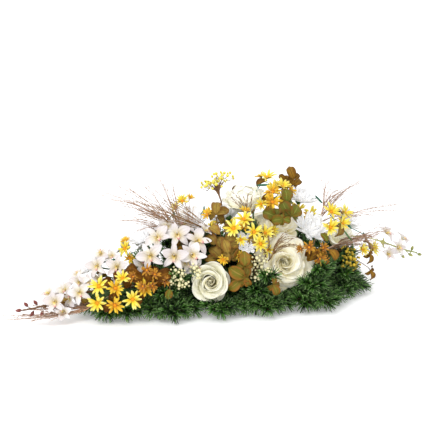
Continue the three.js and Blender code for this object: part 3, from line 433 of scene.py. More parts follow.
def cut_sheet(name, columns, wide, widths, curl, tip=0.0, cup=0.0, ruffle=0.0, smooth=1, thick=0.012):
    """A petal or blade one unit long, its base at the origin and its tip towards +Y."""
    rows = len(widths) - 1
    half = columns // 2
    bpy.ops.object.select_all(action="DESELECT")
    bpy.ops.mesh.primitive_grid_add(x_subdivisions=columns, y_subdivisions=rows, size=1)
    sheet = bpy.context.object
    sheet.name = name
    bpy.ops.object.mode_set(mode="EDIT")
    bpy.ops.transform.translate(value=(0, 0.5, 0))
    bpy.ops.transform.resize(value=(wide, 1, 1), center_override=(0, 0, 0))

    def pick(test):
        choose(sheet, lambda corner: test(corner.index % (columns + 1), corner.index // (columns + 1)))

    for side in (-1, 1):
        for step in range(half - 1, -1, -1):
            pick(lambda column, row: side * (column - half) > step)
            turn(math.radians(-side * cup / columns), "Y", (side * step * wide / columns, 0, 0))
    for at, width in enumerate(widths):
        pick(lambda column, row: row == at)
        bpy.ops.transform.resize(value=(width, 1, width), center_override=(0, at / rows, 0))
    for at in range(columns + 1):
        share = (at / half - 1) ** 2 * wide
        wave = ruffle if at % 2 else -ruffle
        for back, part in ((0, 1.0), (1, NEXT_ROW_SHARE)):
            pick(lambda column, row: column == at and row == rows - back)
            bpy.ops.transform.translate(value=(0, -tip * share * part, wave * part))
    for at in range(rows, 0, -1):
        pick(lambda column, row: row >= at)
        turn(math.radians(curl[at - 1]), "X", (0, (at - 1) / rows, 0))
    bpy.ops.object.mode_set(mode="OBJECT")
    if smooth:
        rounder = sheet.modifiers.new("rounder", "SUBSURF")
        rounder.levels = rounder.render_levels = smooth
    wall = sheet.modifiers.new("wall", "SOLIDIFY")
    wall.thickness = thick
    wall.offset = 0
    apply_all(sheet)
    return sheet


print("a sheet is cupped, trimmed, ruffled and curled")

# %% [markdown]
# A finished pattern is lifted out of the scene as plain arrays, and each use sets a copy of it down
# with its own matrix. All copies of one flower end in one mesh, which is much quicker than
# thousands of objects. Lengths are in millimetres until the mesh is written.

# %% Lifting a pattern and setting copies
FLOOR_GAP = 0.6
TALLY = {}


def lifted(obj):
    """A pattern's corners, loops, face sizes and its own place map, taken out of the scene."""
    mesh = obj.data
    corners = np.empty((len(mesh.vertices), 3))
    mesh.vertices.foreach_get("co", corners.ravel())
    loops = np.empty(len(mesh.loops), np.int64)
    mesh.loops.foreach_get("vertex_index", loops)
    sides = np.empty(len(mesh.polygons), np.int64)
    mesh.polygons.foreach_get("loop_total", sides)
    place = np.zeros((len(corners), 2))
    if mesh.uv_layers:
        flat = np.empty((len(mesh.loops), 2))
        mesh.uv_layers[0].data.foreach_get("uv", flat.ravel())
        place[loops] = flat
    bpy.data.objects.remove(obj)
    return corners, loops, sides, place


def set_down(heap, pattern, matrix, finish, tone=0.0, sizes=(1, 1, 1)):
    """Adds one copy of a pattern to a heap, sized along its own axes and then placed."""
    corners, loops, sides, place = pattern
    m = np.array(matrix)
    placed = (corners * np.array(sizes)) @ m[:3, :3].T + m[:3, 3]
    heap.append((placed, loops, sides, np.column_stack((place, np.full(len(place), tone))), finish))


def set_many(heap, pattern, origins, frames, sizes, tones, finish):
    """Adds many copies at once: frames holds three axes as columns for each copy."""
    corners, loops, sides, place = pattern
    count, number = len(origins), len(corners)
    placed = np.einsum("nij,nkj->nki", frames, corners[None] * sizes[:, None]) + origins[:, None]
    shift = (np.arange(count) * number)[:, None]
    places = np.concatenate((np.repeat(place[None], count, 0), np.repeat(tones[:, None, None], number, 1)), 2)
    all_loops = (loops[None] + shift).ravel()
    heap.append((placed.reshape(-1, 3), all_loops, np.tile(sides, count), places.reshape(-1, 3), finish))


def finished(name, heap, node, slot):
    """Writes a heap as one mesh that rides on the wreath and stands for a node of the frame."""
    names = sorted({entry[4] for entry in heap})
    starts = np.cumsum([0] + [len(entry[0]) for entry in heap])
    corners = np.concatenate([entry[0] for entry in heap]) * MM
    corners[:, 2] = np.maximum(corners[:, 2], FLOOR_GAP * MM)
    loops = np.concatenate([entry[1] + start for entry, start in zip(heap, starts)])
    sides = np.concatenate([entry[2] for entry in heap])
    kinds = np.concatenate([np.full(len(entry[2]), names.index(entry[4])) for entry in heap])
    mesh = bpy.data.meshes.new(name)
    mesh.vertices.add(len(corners))
    mesh.vertices.foreach_set("co", corners.ravel())
    mesh.loops.add(len(loops))
    mesh.loops.foreach_set("vertex_index", loops)
    mesh.polygons.add(len(sides))
    mesh.polygons.foreach_set("loop_start", np.cumsum(sides) - sides)
    for finish in names:
        mesh.materials.append(FINISH[finish])
    mesh.polygons.foreach_set("material_index", kinds)
    mesh.polygons.foreach_set("use_smooth", np.ones(len(sides), bool))
    places = mesh.attributes.new(PLACE, "FLOAT_VECTOR", "POINT")
    places.data.foreach_set("vector", np.concatenate([entry[3] for entry in heap]).ravel())
    mesh.update(calc_edges=True)
    piece = bpy.data.objects.new(name, mesh)
    bpy.context.scene.collection.objects.link(piece)
    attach(piece, "root")
    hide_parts(node)
    TALLY[name] = int(np.sum(sides - 2))
    return piece


print("nothing reaches nearer the floor than %.1f mm" % FLOOR_GAP)

# %% [markdown]
# Poses are worked out as the solids have them: a flower's own +Z looks along its face, its +Y as far
# up as it can. A row of draws from a seed repeats exactly.

# %% Poses and draws
MOUND_MIDDLE = -60
MOUND_RADII = (430, 150, 230)
LOWEST_FACE = 20


def pose(at, face, roll=0.0):
    """A place and a way to face, as a matrix."""
    z = Vector(face).normalized()
    up = Vector((-1, 0, 0)) if abs(z.z) > 0.97 else Vector((0, 0, 1))
    y = (up - z * up.dot(z)).normalized()
    turned = Matrix((y.cross(z), y, z)).transposed().to_4x4()
    return Matrix.Translation(Vector(at)) @ turned @ Matrix.Rotation(math.radians(roll), 4, "Z")


def outward(at):
    """The way out of the mound, as if it were one half of an egg."""
    x, y, z = at
    long, deep, tall = MOUND_RADII
    return Vector(((x - MOUND_MIDDLE) / long**2, y / deep**2, max(z, LOWEST_FACE) / tall**2)).normalized()


def draws(seed):
    """Numbers from 0 to 1, always the same ones for a seed."""
    state = seed
    while True:
        state = (state * 1664525 + 1013904223) % 2**32
        yield state / 2**32


def mix(low, high, share):
    return low + (high - low) * share


print("first draws from seed 1:", [round(value, 3) for value, _ in zip(draws(1), range(3))])

# %% [markdown]
# The wire stems are already in the solids, bent clear of one another. A copy of a node's mesh is
# merged, its coarse flower heads are deleted, the cut ends are closed, and a subdivision makes the
# three-sided wires round. Rounding draws a thin wire in, so it is fattened again.

# %% Stems from the solids
STEM_FATTEN = 0.42
MERGE_GAP = 0.00001


def bare_stems(heap, node, inside, finish):
    """Adds the stems of a node to a heap; inside tells which points belong to its heads."""
    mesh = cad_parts[node].data.copy()
    stems = bpy.data.objects.new(node + "_wires", mesh)
    bpy.context.scene.collection.objects.link(stems)
    bpy.ops.object.select_all(action="DESELECT")
    bpy.context.view_layer.objects.active = stems
    bpy.ops.object.mode_set(mode="EDIT")
    bpy.ops.mesh.select_all(action="SELECT")
    bpy.ops.mesh.remove_doubles(threshold=MERGE_GAP)
    edited = bmesh.from_edit_mesh(mesh)
    gone = {corner for corner in edited.verts if inside(corner.co / MM)}
    for face in edited.faces:
        face.select = any(corner in gone for corner in face.verts)
    bmesh.update_edit_mesh(mesh)
    bpy.ops.mesh.delete(type="FACE")
    bpy.ops.mesh.select_all(action="SELECT")
    bpy.ops.mesh.fill_holes(sides=0)
    bpy.ops.object.mode_set(mode="OBJECT")
    rounder = stems.modifiers.new("rounder", "SUBSURF")
    rounder.levels = rounder.render_levels = 1
    fatter = stems.modifiers.new("fatter", "DISPLACE")
    fatter.mid_level = 0
    fatter.strength = STEM_FATTEN * MM
    apply_all(stems)
    corners, loops, sides, _ = lifted(stems)
    if len(sides):
        low, high = corners[:, 2].min(), corners[:, 2].max()
        place = np.column_stack((np.zeros(len(corners)), (corners[:, 2] - low) / max(high - low, MM)))
        set_down(heap, (corners / MM, loops, sides, place), Matrix.Identity(4), finish)


print("stems are fattened by %.2f mm" % STEM_FATTEN)


# %% [markdown]
# The petal patterns. A rose petal is broad, cupped and rolled back at its rim; a mum's is a narrow
# strap; a daisy's is a flat oval; an orchid's is long and pointed. Each is shaped once. A row gives
# the columns, the width, the outline row by row, and how many degrees it curls at each row.

# %% Petal patterns
ROSE_ROWS = (0.34, 0.62, 0.86, 1.0, 1.04, 0.98, 0.80)
HEART_ROWS = (0.7, 0.84, 0.94, 1.0, 1.0, 0.96)
FRILL_ROWS = (0.34, 0.6, 0.84, 1.0, 1.04, 0.9)
STRAP_ROWS = (0.5, 0.8, 1.0, 1.0, 0.9, 0.6)
RAY_ROWS = (0.5, 0.85, 1.0, 0.88, 0.4)
POINTED_ROWS = (0.3, 0.66, 0.92, 1.0, 0.9, 0.64, 0.2)
LIP_ROWS = (0.7, 1.0, 0.8, 0.62, 0.9, 0.5)
LEAF_ROWS = (0.12, 0.68, 0.95, 1.0, 0.9, 0.62, 0.1)
CURLED_ROWS = (0.12, 0.66, 0.92, 1.0, 0.92, 0.62, 0.1)
SEPAL_ROWS = (0.8, 1.0, 0.8, 0.5, 0.06)
SHEETS = {
    "rose": (6, 1.05, ROSE_ROWS, (4, 16, 14, 4, -20, -38), dict(tip=0.2, cup=66, ruffle=0.03)),
    "wavy": (6, 1.05, ROSE_ROWS, (4, 14, 12, 0, -20, -30), dict(tip=0.06, cup=54, ruffle=0.08)),
    "frill": (4, 0.62, FRILL_ROWS, (6, 14, 14, 8, -18), dict(tip=0.1, cup=56, ruffle=0.05)),
    "incurve": (4, 0.6, FRILL_ROWS, (4, 14, 22, 26, 24), dict(tip=0.1, cup=66, ruffle=0.05)),
    "strap": (2, 0.28, STRAP_ROWS, (4, 10, 10, 12, 8), dict(tip=0.2, cup=60, smooth=0, thick=0.016)),
    "ray": (2, 0.32, RAY_ROWS, (8, 6, -4, -12), dict(tip=0.15, cup=70, smooth=0, thick=0.03)),
    "sepal_petal": (
        4, 0.54, POINTED_ROWS, (14, -4, -8, -8, -8, -6), dict(tip=0.04, cup=60, ruffle=0.012, thick=0.015),
    ),
    "lip": (4, 0.8, LIP_ROWS, (20, 0, -20, -34, -30), dict(tip=0.08, cup=150, ruffle=0.04, thick=0.03)),
    "leaf": (4, 1, LEAF_ROWS, (6, -4, -8, -10, -10, -8), dict(tip=0.02, cup=44, ruffle=0.02, thick=0.02)),
    "curled_leaf": (
        4, 1, CURLED_ROWS, (12, 4, -12, -22, -24, 8), dict(tip=0.02, cup=74, ruffle=0.10, thick=0.02),
    ),
    "sepal": (2, 0.5, SEPAL_ROWS, (10, 20, 10, -20), dict(cup=70, smooth=0, thick=0.05)),
}
WRAPS = {"wrap_1": (0.40, 130), "wrap_2": (0.30, 140), "wrap_3": (0.21, 150), "wrap_4": (0.12, 160)}
for name, (radius, cup) in WRAPS.items():
    SHEETS[name] = (6, radius * math.radians(cup), HEART_ROWS, (0, 3, 3, 0, -8), dict(tip=0.10, cup=cup))

PATTERN = {}
for name, (*shape, options) in SHEETS.items():
    PATTERN[name] = lifted(cut_sheet(name, *shape, **options))
    corners, _, sides, _ = PATTERN[name]
    print("%-12s %4d corners, %4d triangles" % (name, len(corners), int(np.sum(sides - 2))))

# %% [markdown]
# Solid patterns: a fir needle is a three-sided strip with a blunt end, and a grass seed a sharp one.
# A berry is a small globe with a dimple or a crown, a bud a longer one, and the daisy's disc a low
# button. A rod of rings is what twigs and grass strands are bent from.

# %% Solid patterns
GLOBES = {
    "berry": (8, 6, 0.95, 0.8, -0.16),
    "small_berry": (6, 5, 1.0, 0.8, 0.12),
    "bud": (8, 7, 1.6, 0.7, 0.12),
    "disc": (10, 6, 0.6, 1.0, -0.1),
}


def solid_map(obj, axis):
    """Writes a place map that runs from 0 to 1 along an axis."""
    mesh = obj.data
    heights = np.array([corner.co[axis] for corner in mesh.vertices])
    share = (heights - heights.min()) / max(np.ptp(heights), 1e-9)
    layer = mesh.uv_layers.active or mesh.uv_layers.new(name="along")
    for loop in mesh.loops:
        layer.data[loop.index].uv = (0.5, share[loop.vertex_index])
    return obj


def spike(name, blunt):
    """A three-sided spike one unit long towards +Y, with an end of the radius that blunt gives."""
    bpy.ops.object.select_all(action="DESELECT")
    bpy.ops.mesh.primitive_cone_add(vertices=3, radius1=0.5, radius2=blunt, depth=1)
    needle = bpy.context.object
    needle.name = name
    bpy.ops.object.mode_set(mode="EDIT")
    turn(math.radians(-90), "X", (0, 0, 0))
    bpy.ops.transform.translate(value=(0, 0.5, 0))
    bpy.ops.object.mode_set(mode="OBJECT")
    return solid_map(needle, 1)


def globe(name, segments, ring_count, length, pinch, crown):
    """A berry or bud one unit wide that stands on the origin, with its foot pinched and its top moved."""
    bpy.ops.object.select_all(action="DESELECT")
    bpy.ops.mesh.primitive_uv_sphere_add(segments=segments, ring_count=ring_count, radius=0.5)
    body = bpy.context.object
    body.name = name
    bpy.ops.object.mode_set(mode="EDIT")
    bpy.ops.transform.translate(value=(0, 0, 0.5))
    choose(body, lambda corner: corner.co.z < 0.3)
    bpy.ops.transform.resize(value=(pinch, pinch, 1), center_override=(0, 0, 0))
    choose(body, lambda corner: corner.co.z > 0.99)
    bpy.ops.transform.translate(value=(0, 0, crown))
    bpy.ops.mesh.select_all(action="SELECT")
    bpy.ops.transform.resize(value=(1, 1, length), center_override=(0, 0, 0))
    bpy.ops.object.mode_set(mode="OBJECT")
    return solid_map(body, 2)


for name, shape in GLOBES.items():
    PATTERN[name] = lifted(globe(name, *shape))
PATTERN["needle"] = lifted(spike("needle", 0.3))
PATTERN["seed"] = lifted(spike("seed", 0.0))
print("patterns:", len(PATTERN))

# %% [markdown]
# Twigs and strands follow curves. A rod is a row of rings along its line, each as wide as the rod
# is there, and closed at both ends. Needles and seeds stand round such a line and lean forwards. This is
# worked out in code, because a modifier per twig would take long.

# %% Rods and spikes along a line
ROD_SIDES = 5
ODD_WAY = (0.13, 0.21, 0.97)


def frames_along(points):
    """The way, side and over directions at each point of a line; no line runs the odd way."""
    ways = np.gradient(points, axis=0)
    ways /= np.linalg.norm(ways, axis=1)[:, None]
    side = np.cross(ways, ODD_WAY)
    side /= np.linalg.norm(side, axis=1)[:, None]
    return ways, side, np.cross(side, ways)


def arc(line, count):
    """Points on the curve from a line's first point to its third, drawn towards its second."""
    shares = np.linspace(0, 1, count)[:, None]
    a, b, c = (np.array(p) for p in line)
    return a * (1 - shares) ** 2 + 2 * b * shares * (1 - shares) + c * shares**2


def rod(heap, points, radii, finish, tone=0.3, around=ROD_SIDES):
    ways, side, over = frames_along(points)
    angles = np.arange(around) / around * 2 * math.pi
    ring = np.cos(angles)[None, :, None] * side[:, None] + np.sin(angles)[None, :, None] * -over[:, None]
    corners = (points[:, None] + ring * np.array(radii)[:, None, None]).reshape(-1, 3)
    loops = []
    for row in range(len(points) - 1):
        for k in range(around):
            a, b = row * around + k, row * around + (k + 1) % around
            loops += [a, b, b + around, a + around]
    last = (len(points) - 1) * around
    caps = list(range(around))[::-1] + [last + k for k in range(around)]
    sides = [4] * ((len(points) - 1) * around) + [around] * 2
    along = np.repeat(np.linspace(0, 1, len(points)), around)
    place = np.column_stack((np.zeros(len(along)), along))
    pattern = (corners, np.array(loops + caps), np.array(sides), place)
    set_down(heap, pattern, Matrix.Identity(4), finish, tone)


def stalk(heap, line, radius, finish, count=6, around=4):
    """A rod that is as thick all along."""
    rod(heap, arc(line, count), np.full(count, radius), finish, around=around)


def read_along(points, marks, along):
    """The place, way, side and over directions at distances along a line."""
    return [
        np.column_stack([np.interp(along, marks, values[:, k]) for k in range(3)])
        for values in (points, *frames_along(points))
    ]


def leaning(way, side, over, angle, lean):
    """Ways that lean off a line: straight away from it at an angle, and the leaning way itself."""
    away = np.cos(angle)[:, None] * side + np.sin(angle)[:, None] * over
    return away, way * np.cos(lean)[:, None] + away * np.sin(lean)[:, None]


def set_spikes(heap, pattern, centre, away, y, sizes, tones, finish):
    """Sets spikes down along their ways, each with its back turned away from the line."""
    x = np.cross(y, away)
    x /= np.linalg.norm(x, axis=1)[:, None]
    set_many(heap, PATTERN[pattern], centre, np.stack((x, y, np.cross(x, y)), 2), sizes, tones, finish)


print("rods have", ROD_SIDES, "sides")

# %% [markdown]
# A flower is built from the outside in. A petal stands on a small circle round the axis, leans out
# by its tilt, and looks towards the axis, so a layer is a row of turns. Small draws in turn, tilt
# and size keep it from looking stamped.

# %% Setting petals round an axis
def petal_matrix(turn_deg, tilt_deg, radius, height, aside=0.0):
    """Where a petal goes in a flower's own frame: +Y up along the petal, +Z towards the axis."""
    lean = math.radians(tilt_deg)
    place = Matrix(
        (
            (0, math.sin(lean), -math.cos(lean), radius),
            (-1, 0, 0, aside),
            (0, math.cos(lean), math.sin(lean), height),
            (0, 0, 0, 1),
        )
    )
    return Matrix.Rotation(math.radians(turn_deg), 4, "Z") @ place


def reach_at(tilt, radius, depth):
    """How far a flower reaches from its base at a tilt, if its outline is an ellipse."""
    lean = math.radians(tilt)
    return 1 / math.hypot(math.sin(lean) / radius, math.cos(lean) / depth)


TURN_SPREAD = 14
TILT_SPREAD = 9
SIZE_SPREAD = 0.12
SWIRL = {"rose": 0.09, "wavy": 0.09, "wrap_1": 0.06, "wrap_2": 0.05, "wrap_3": 0.04, "wrap_4": 0.025}
LOOSE = {"rose": 1.6, "wavy": 2.2, "strap": 2.0, "frill": 1.5, "incurve": 1.8, "ray": 2.4}


def layer(heap, frame_of, pattern, finish, count, tilt, size, foot, height, draw, start=0.0):
    """One layer of petals, all much alike; a swirl puts one edge of each outside the next."""
    loose = LOOSE.get(pattern, 1.0)
    for k in range(count):
        jitter = [next(draw) - 0.5 for _ in range(4)]
        matrix = frame_of @ petal_matrix(
            start + 360 * k / count + jitter[0] * TURN_SPREAD * loose,
            tilt + jitter[1] * TILT_SPREAD * loose,
            foot,
            height,
            SWIRL.get(pattern, 0.0) * size,
        )
        grown = size * (1 + SIZE_SPREAD * loose * jitter[2])
        set_down(heap, PATTERN[pattern], matrix, finish, 0.5 + jitter[3], (grown, grown, grown))


print("a petal turns by up to %d and tilts by up to %.1f degrees" % (TURN_SPREAD / 2, TILT_SPREAD / 2))

# %% [markdown]
# The roses. Five broad petals lie open, each layer inside stands more upright and is cupped more,
# and the innermost wrap the heart. The half-open one and the globe-shaped one keep their petals up.
# A row of a layer gives its petal, how many, tilt, size, foot, height and first turn. A row of a
# bloom gives its layers, cloth, middle, way, radius and depth.

# %% Roses, the globe bloom and the mums
HEART = [
    ("wrap_1", 4, 10, 1.03, 0.35, 0.08, 20),
    ("wrap_2", 3, 4, 1.02, 0.27, 0.12, 10),
    ("wrap_3", 3, 2, 1.00, 0.18, 0.13, 50),
    ("wrap_4", 2, 0, 0.98, 0.10, 0.15, 0),
]
ROSE_LAYERS = [
    ("rose", 5, 76, 1.28, 0.06, 0.06, 0),
    ("rose", 5, 62, 1.24, 0.08, 0.08, 36),
    ("rose", 5, 47, 1.16, 0.12, 0.08, 10),
    ("rose", 4, 32, 1.10, 0.18, 0.08, 50),
    *HEART,
]
FULL_ROSE_LAYERS = [
    ("wavy", 6, 82, 1.32, 0.06, 0.06, 0),
    ("wavy", 6, 68, 1.24, 0.06, 0.08, 30),
    ("wavy", 5, 54, 1.14, 0.10, 0.08, 10),
    ("rose", 5, 40, 1.12, 0.14, 0.08, 50),
    ("rose", 4, 28, 1.08, 0.20, 0.08, 15),
    *HEART,
]
HALF_OPEN_LAYERS = [
    ("rose", 5, 62, 1.30, 0.10, 0.02, 0),
    ("rose", 4, 46, 1.24, 0.14, 0.03, 45),
    ("rose", 4, 32, 1.16, 0.18, 0.04, 10),
    *HEART,
]
GLOBE_LAYERS = [
    ("frill", 9, 82, 1.26, 0.12, 0.06, 0),
    ("frill", 10, 68, 1.24, 0.12, 0.06, 20),
    ("incurve", 10, 72, 1.40, 0.14, 0.04, 5),
    ("incurve", 10, 60, 1.36, 0.14, 0.05, 25),
    ("incurve", 10, 48, 1.30, 0.14, 0.06, 10),
    ("incurve", 9, 36, 1.24, 0.16, 0.06, 30),
    ("incurve", 8, 25, 1.18, 0.18, 0.06, 0),
    ("incurve", 6, 14, 1.12, 0.20, 0.06, 20),
]
MUM_LAYERS = [
    ("strap", 15, 92, 1.06, 0.10, 0.22, 0),
    ("strap", 15, 80, 1.08, 0.10, 0.20, 12),
    ("strap", 15, 68, 1.05, 0.09, 0.18, 5),
    ("strap", 14, 56, 1.00, 0.08, 0.16, 17),
    ("strap", 12, 44, 0.95, 0.07, 0.14, 8),
    ("strap", 10, 32, 0.90, 0.05, 0.12, 0),
    ("strap", 8, 20, 0.86, 0.04, 0.10, 20),
    ("strap", 5, 8, 0.82, 0.02, 0.10, 40),
]
CLOTH_SLOTS = {
    "ivory": "ivory_cloth",
    "cream": "cream_cloth",
    "pale_cream": "cream_cloth",
    "white": "white_cloth",
}
BLOOMS = [
    ("rose_front", ROSE_LAYERS, "ivory", (-223, -120, 80), (-0.41, -0.87, 0.28), 41, 44),
    ("rose_low", FULL_ROSE_LAYERS, "cream", (-44, -120, 98), (-0.3, -0.86, 0.42), 50, 48),
    ("rose_high", ROSE_LAYERS, "cream", (-22, -52, 168), (-0.1, -0.55, 0.83), 40, 42),
    ("rose_right", HALF_OPEN_LAYERS, "pale_cream", (122, -80, 146), (0.05, -0.35, 0.93), 31, 50),
    ("peony_top", GLOBE_LAYERS, "pale_cream", (-88, -10, 250), (-0.1, -0.12, 0.98), 43, 64),
    ("mum_right", MUM_LAYERS, "white", (56, -76, 164), (0.15, -0.6, 0.78), 41, 38),
    ("mum_crown", MUM_LAYERS, "white", (70, 6, 222), (0.3, -0.1, 0.95), 38, 38),
    ("mum_centre", MUM_LAYERS, "white", (-128, -98, 150), (-0.35, -0.75, 0.55), 27, 24),
    ("mum_mid", MUM_LAYERS, "white", (-212, 4, 200), (-0.3, -0.25, 0.92), 36, 36),
    ("mum_left", MUM_LAYERS, "white", (-330, 20, 172), (-0.5, -0.15, 0.85), 36, 36),
    ("mum_tip", MUM_LAYERS, "white", (-450, 36, 112), (-0.62, 0.1, 0.78), 30, 28),
    ("mum_far_right", MUM_LAYERS, "white", (205, 4, 148), (0.6, -0.2, 0.78), 35, 34),
    ("rose_back_left", ROSE_LAYERS, "ivory", (-200, 100, 122), (-0.35, 0.8, 0.48), 40, 42),
    ("rose_back_right", ROSE_LAYERS, "cream", (20, 118, 118), (0.2, 0.86, 0.46), 44, 46),
    ("mum_back", MUM_LAYERS, "white", (-92, 88, 178), (-0.1, 0.66, 0.74), 38, 36),
]


def within(back, reach, top):
    """A test for points of a head: in front of its base and inside its reach."""

    def test(point):
        local = back @ point
        return 0.4 < local.z < top and math.hypot(local.x, local.y) < reach

    return test


def calyx(heap, frame_of, radius):
    """Five green sepals under a flower, bent down a little."""
    for k in range(5):
        matrix = frame_of @ petal_matrix(72 * k + 20, 64, 0.02 * radius, 0.2)
        set_down(heap, PATTERN["sepal"], matrix, "sepal", 0.3, (0.62 * radius,) * 3)


HEART_PATTERNS = ("wrap_2", "wrap_3", "wrap_4")
STEM_ENDS = {
    "mum_mid": ((-182, 1, 212), (-186, -6, 186)),
    "mum_left": ((-253, 2, 207), (-257, 0, 194)),
    "peony_top": ((-62, -15, 250), (-35, -27, 251)),
    "mum_crown": ((97, -5, 206), (110, -16, 189)),
    "rose_right": ((131, -72, 164), (147, -86, 142)),
    "mum_far_right": ((227, -14, 103), (234, -24, 83)),
    "mum_tip": ((-414, 25, 107), (-384, 13, 114)),
}
for number, (name, layers, finish, face, way, radius, depth) in enumerate(BLOOMS):
    towards = Vector(way).normalized()
    base = pose(Vector(face) - towards * depth, towards)
    heap = []
    draw = draws(100 + number)
    for pattern, count, tilt, share, foot, height, start in layers:
        size = share * reach_at(tilt, radius, depth)
        kind = "heart" if pattern in HEART_PATTERNS else finish
        layer(heap, base, pattern, kind, count, tilt, size, foot * radius, height * depth, draw, start)
    if HEART[-1] in layers:
        set_down(heap, PATTERN["bud"], base, "heart", 0.2, (0.56 * radius, 0.56 * radius, 0.46 * depth))
    back = np.array(base.inverted())
    local = np.concatenate([entry[0] for entry in heap]) @ back[:3, :3].T + back[:3, 3]
    reach = np.percentile(np.hypot(local[:, 0], local[:, 1]), 98) / radius
    print("%-16s reach %.2f, height %.2f" % (name, reach, local[:, 2].max() / depth))
    calyx(heap, base, radius)
    if name in STEM_ENDS:
        low, high = (Vector(point) for point in STEM_ENDS[name])
        rod(heap, arc((low, low.lerp(high, 0.5), high), 5), (1.2, 2.2, 2.6, 2.2, 1.4), "tape")
        start = base.translation
        stalk(heap, (start, start.lerp(low, 0.5), low.lerp(high, 0.3)), 1.0, "tape", 5)
    bare_stems(heap, name, within(base.inverted(), 1.04 * radius, 1.2 * depth), "stem")
    finished(name + "_cloth", heap, name, CLOTH_SLOTS[finish])
print("blooms:", len(BLOOMS), "triangles:", sum(TALLY.values()))

# %% [markdown]
# Sprays carry several small heads on one wire. A daisy has two rows of petals round a button, an
# orchid five petals, a curled lip and a hooded column, and buds sit at a spray's end. The heads are
# where the solids have them: kind, middle, face, roll and size.

# %% Florets
SIZES = {"daisy": 20, "orchid": 31, "bud": 4, "leaf": 36, "berry": 4.2}
HEAD_BACKS = {"daisy": 3.0, "orchid": 3.0, "bud": 6.0, "berry": 3.8}
ORCHID_PETALS = ((36, 1.4), (108, 0.85), (180, 1.4), (252, 0.9), (324, 0.9))
LIP_TURN = 288


def daisy_head(heap, base, radius, draw, petals):
    """Two rows of rays round a button, with green under it."""
    layer(heap, base, "ray", petals, 8, 74, 1.03 * radius, 0.1 * radius, 2.4, draw, 0)
    layer(heap, base, "ray", petals, 6, 58, 0.96 * radius, 0.1 * radius, 3.2, draw, 22)
    wide = 0.4 * radius
    set_down(heap, PATTERN["disc"], base @ Matrix.Translation((0, 0, 2.6)), "disc", 0.2, (wide, wide, wide))
    set_down(heap, PATTERN["bud"], base, "sepal", 0.4, (0.3 * radius, 0.3 * radius, 0.14 * radius))


def orchid_head(heap, base, radius, draw, petals):
    """Five pointed petals, two of them broad, a curled lip and a hood over it."""
    nod = 24 * (next(draw) - 0.5)
    for angle, wide in ORCHID_PETALS:
        jitter = [next(draw) - 0.5 for _ in range(3)]
        matrix = base @ petal_matrix(angle + 16 * jitter[0], 76 + nod + 26 * jitter[1], 0.04 * radius, 2.6)
        size = radius * (1.02 + 0.08 * jitter[2])
        bend = size * (1.3 + 1.4 * jitter[1])
        set_down(heap, PATTERN["sepal_petal"], matrix, petals, 0.5 + jitter[2], (size * wide, size, bend))
    lip = base @ petal_matrix(LIP_TURN, 44, 0.02 * radius, 3.0)
    set_down(heap, PATTERN["lip"], lip, "lip", next(draw), (0.58 * radius,) * 3)
    hood = base @ petal_matrix(LIP_TURN + 180, 20, 0.06 * radius, 3.0)
    set_down(heap, PATTERN["wrap_3"], hood, petals, 0.2, (0.36 * radius,) * 3)


def head_frame(kind, at, face, roll, size):
    """The pose of a head's base, moved back from its middle to the foot of its own form."""
    towards = Vector(face).normalized() if face else outward(at)
    turned = pose(at, towards, roll)
    if kind == "leaf":
        return turned @ Matrix.Translation((0, -0.48 * size, 0))
    return turned @ Matrix.Translation((0, 0, -HEAD_BACKS[kind] * size / SIZES[kind]))


def companions(base, size, count, spread, back, draw):
    """Poses of smaller flowers round a head, each with the line of the stalk that carries it."""
    start = 360 * next(draw)
    for k in range(count):
        angle = math.radians(start + 360 * k / count + 50 * (next(draw) - 0.5))
        reach = spread * size * mix(0.85, 1.1, next(draw))
        at = base @ Vector((reach * math.cos(angle), reach * math.sin(angle), -back * size))
        lean = Vector((math.cos(angle), math.sin(angle), mix(1.2, 2.2, next(draw))))
        towards = (base.to_3x3() @ lean).normalized()
        root = base @ Vector((0, 0, -0.5 * size))
        yield pose(at, towards, 360 * next(draw)), (root, at - towards * 0.5 * size, at)


def inside_blade(back, length, width):
    """A test for points of a leaf."""

    def test(point):
        local = back @ point
        return 0.4 < local.y < 1.04 * length and abs(local.x) < 0.54 * width and -0.25 * length < local.z < 3

    return test

print("heads:", ", ".join(SIZES))

# %% [markdown]
# The tables say what stands in each spray: its petals or leaves, its stem and its slot, and then each
# head's middle, the way it faces, its roll and its size, where these aren't the usual ones. Further
# tables add what is too small for the solids, such as a second flower beside a head.

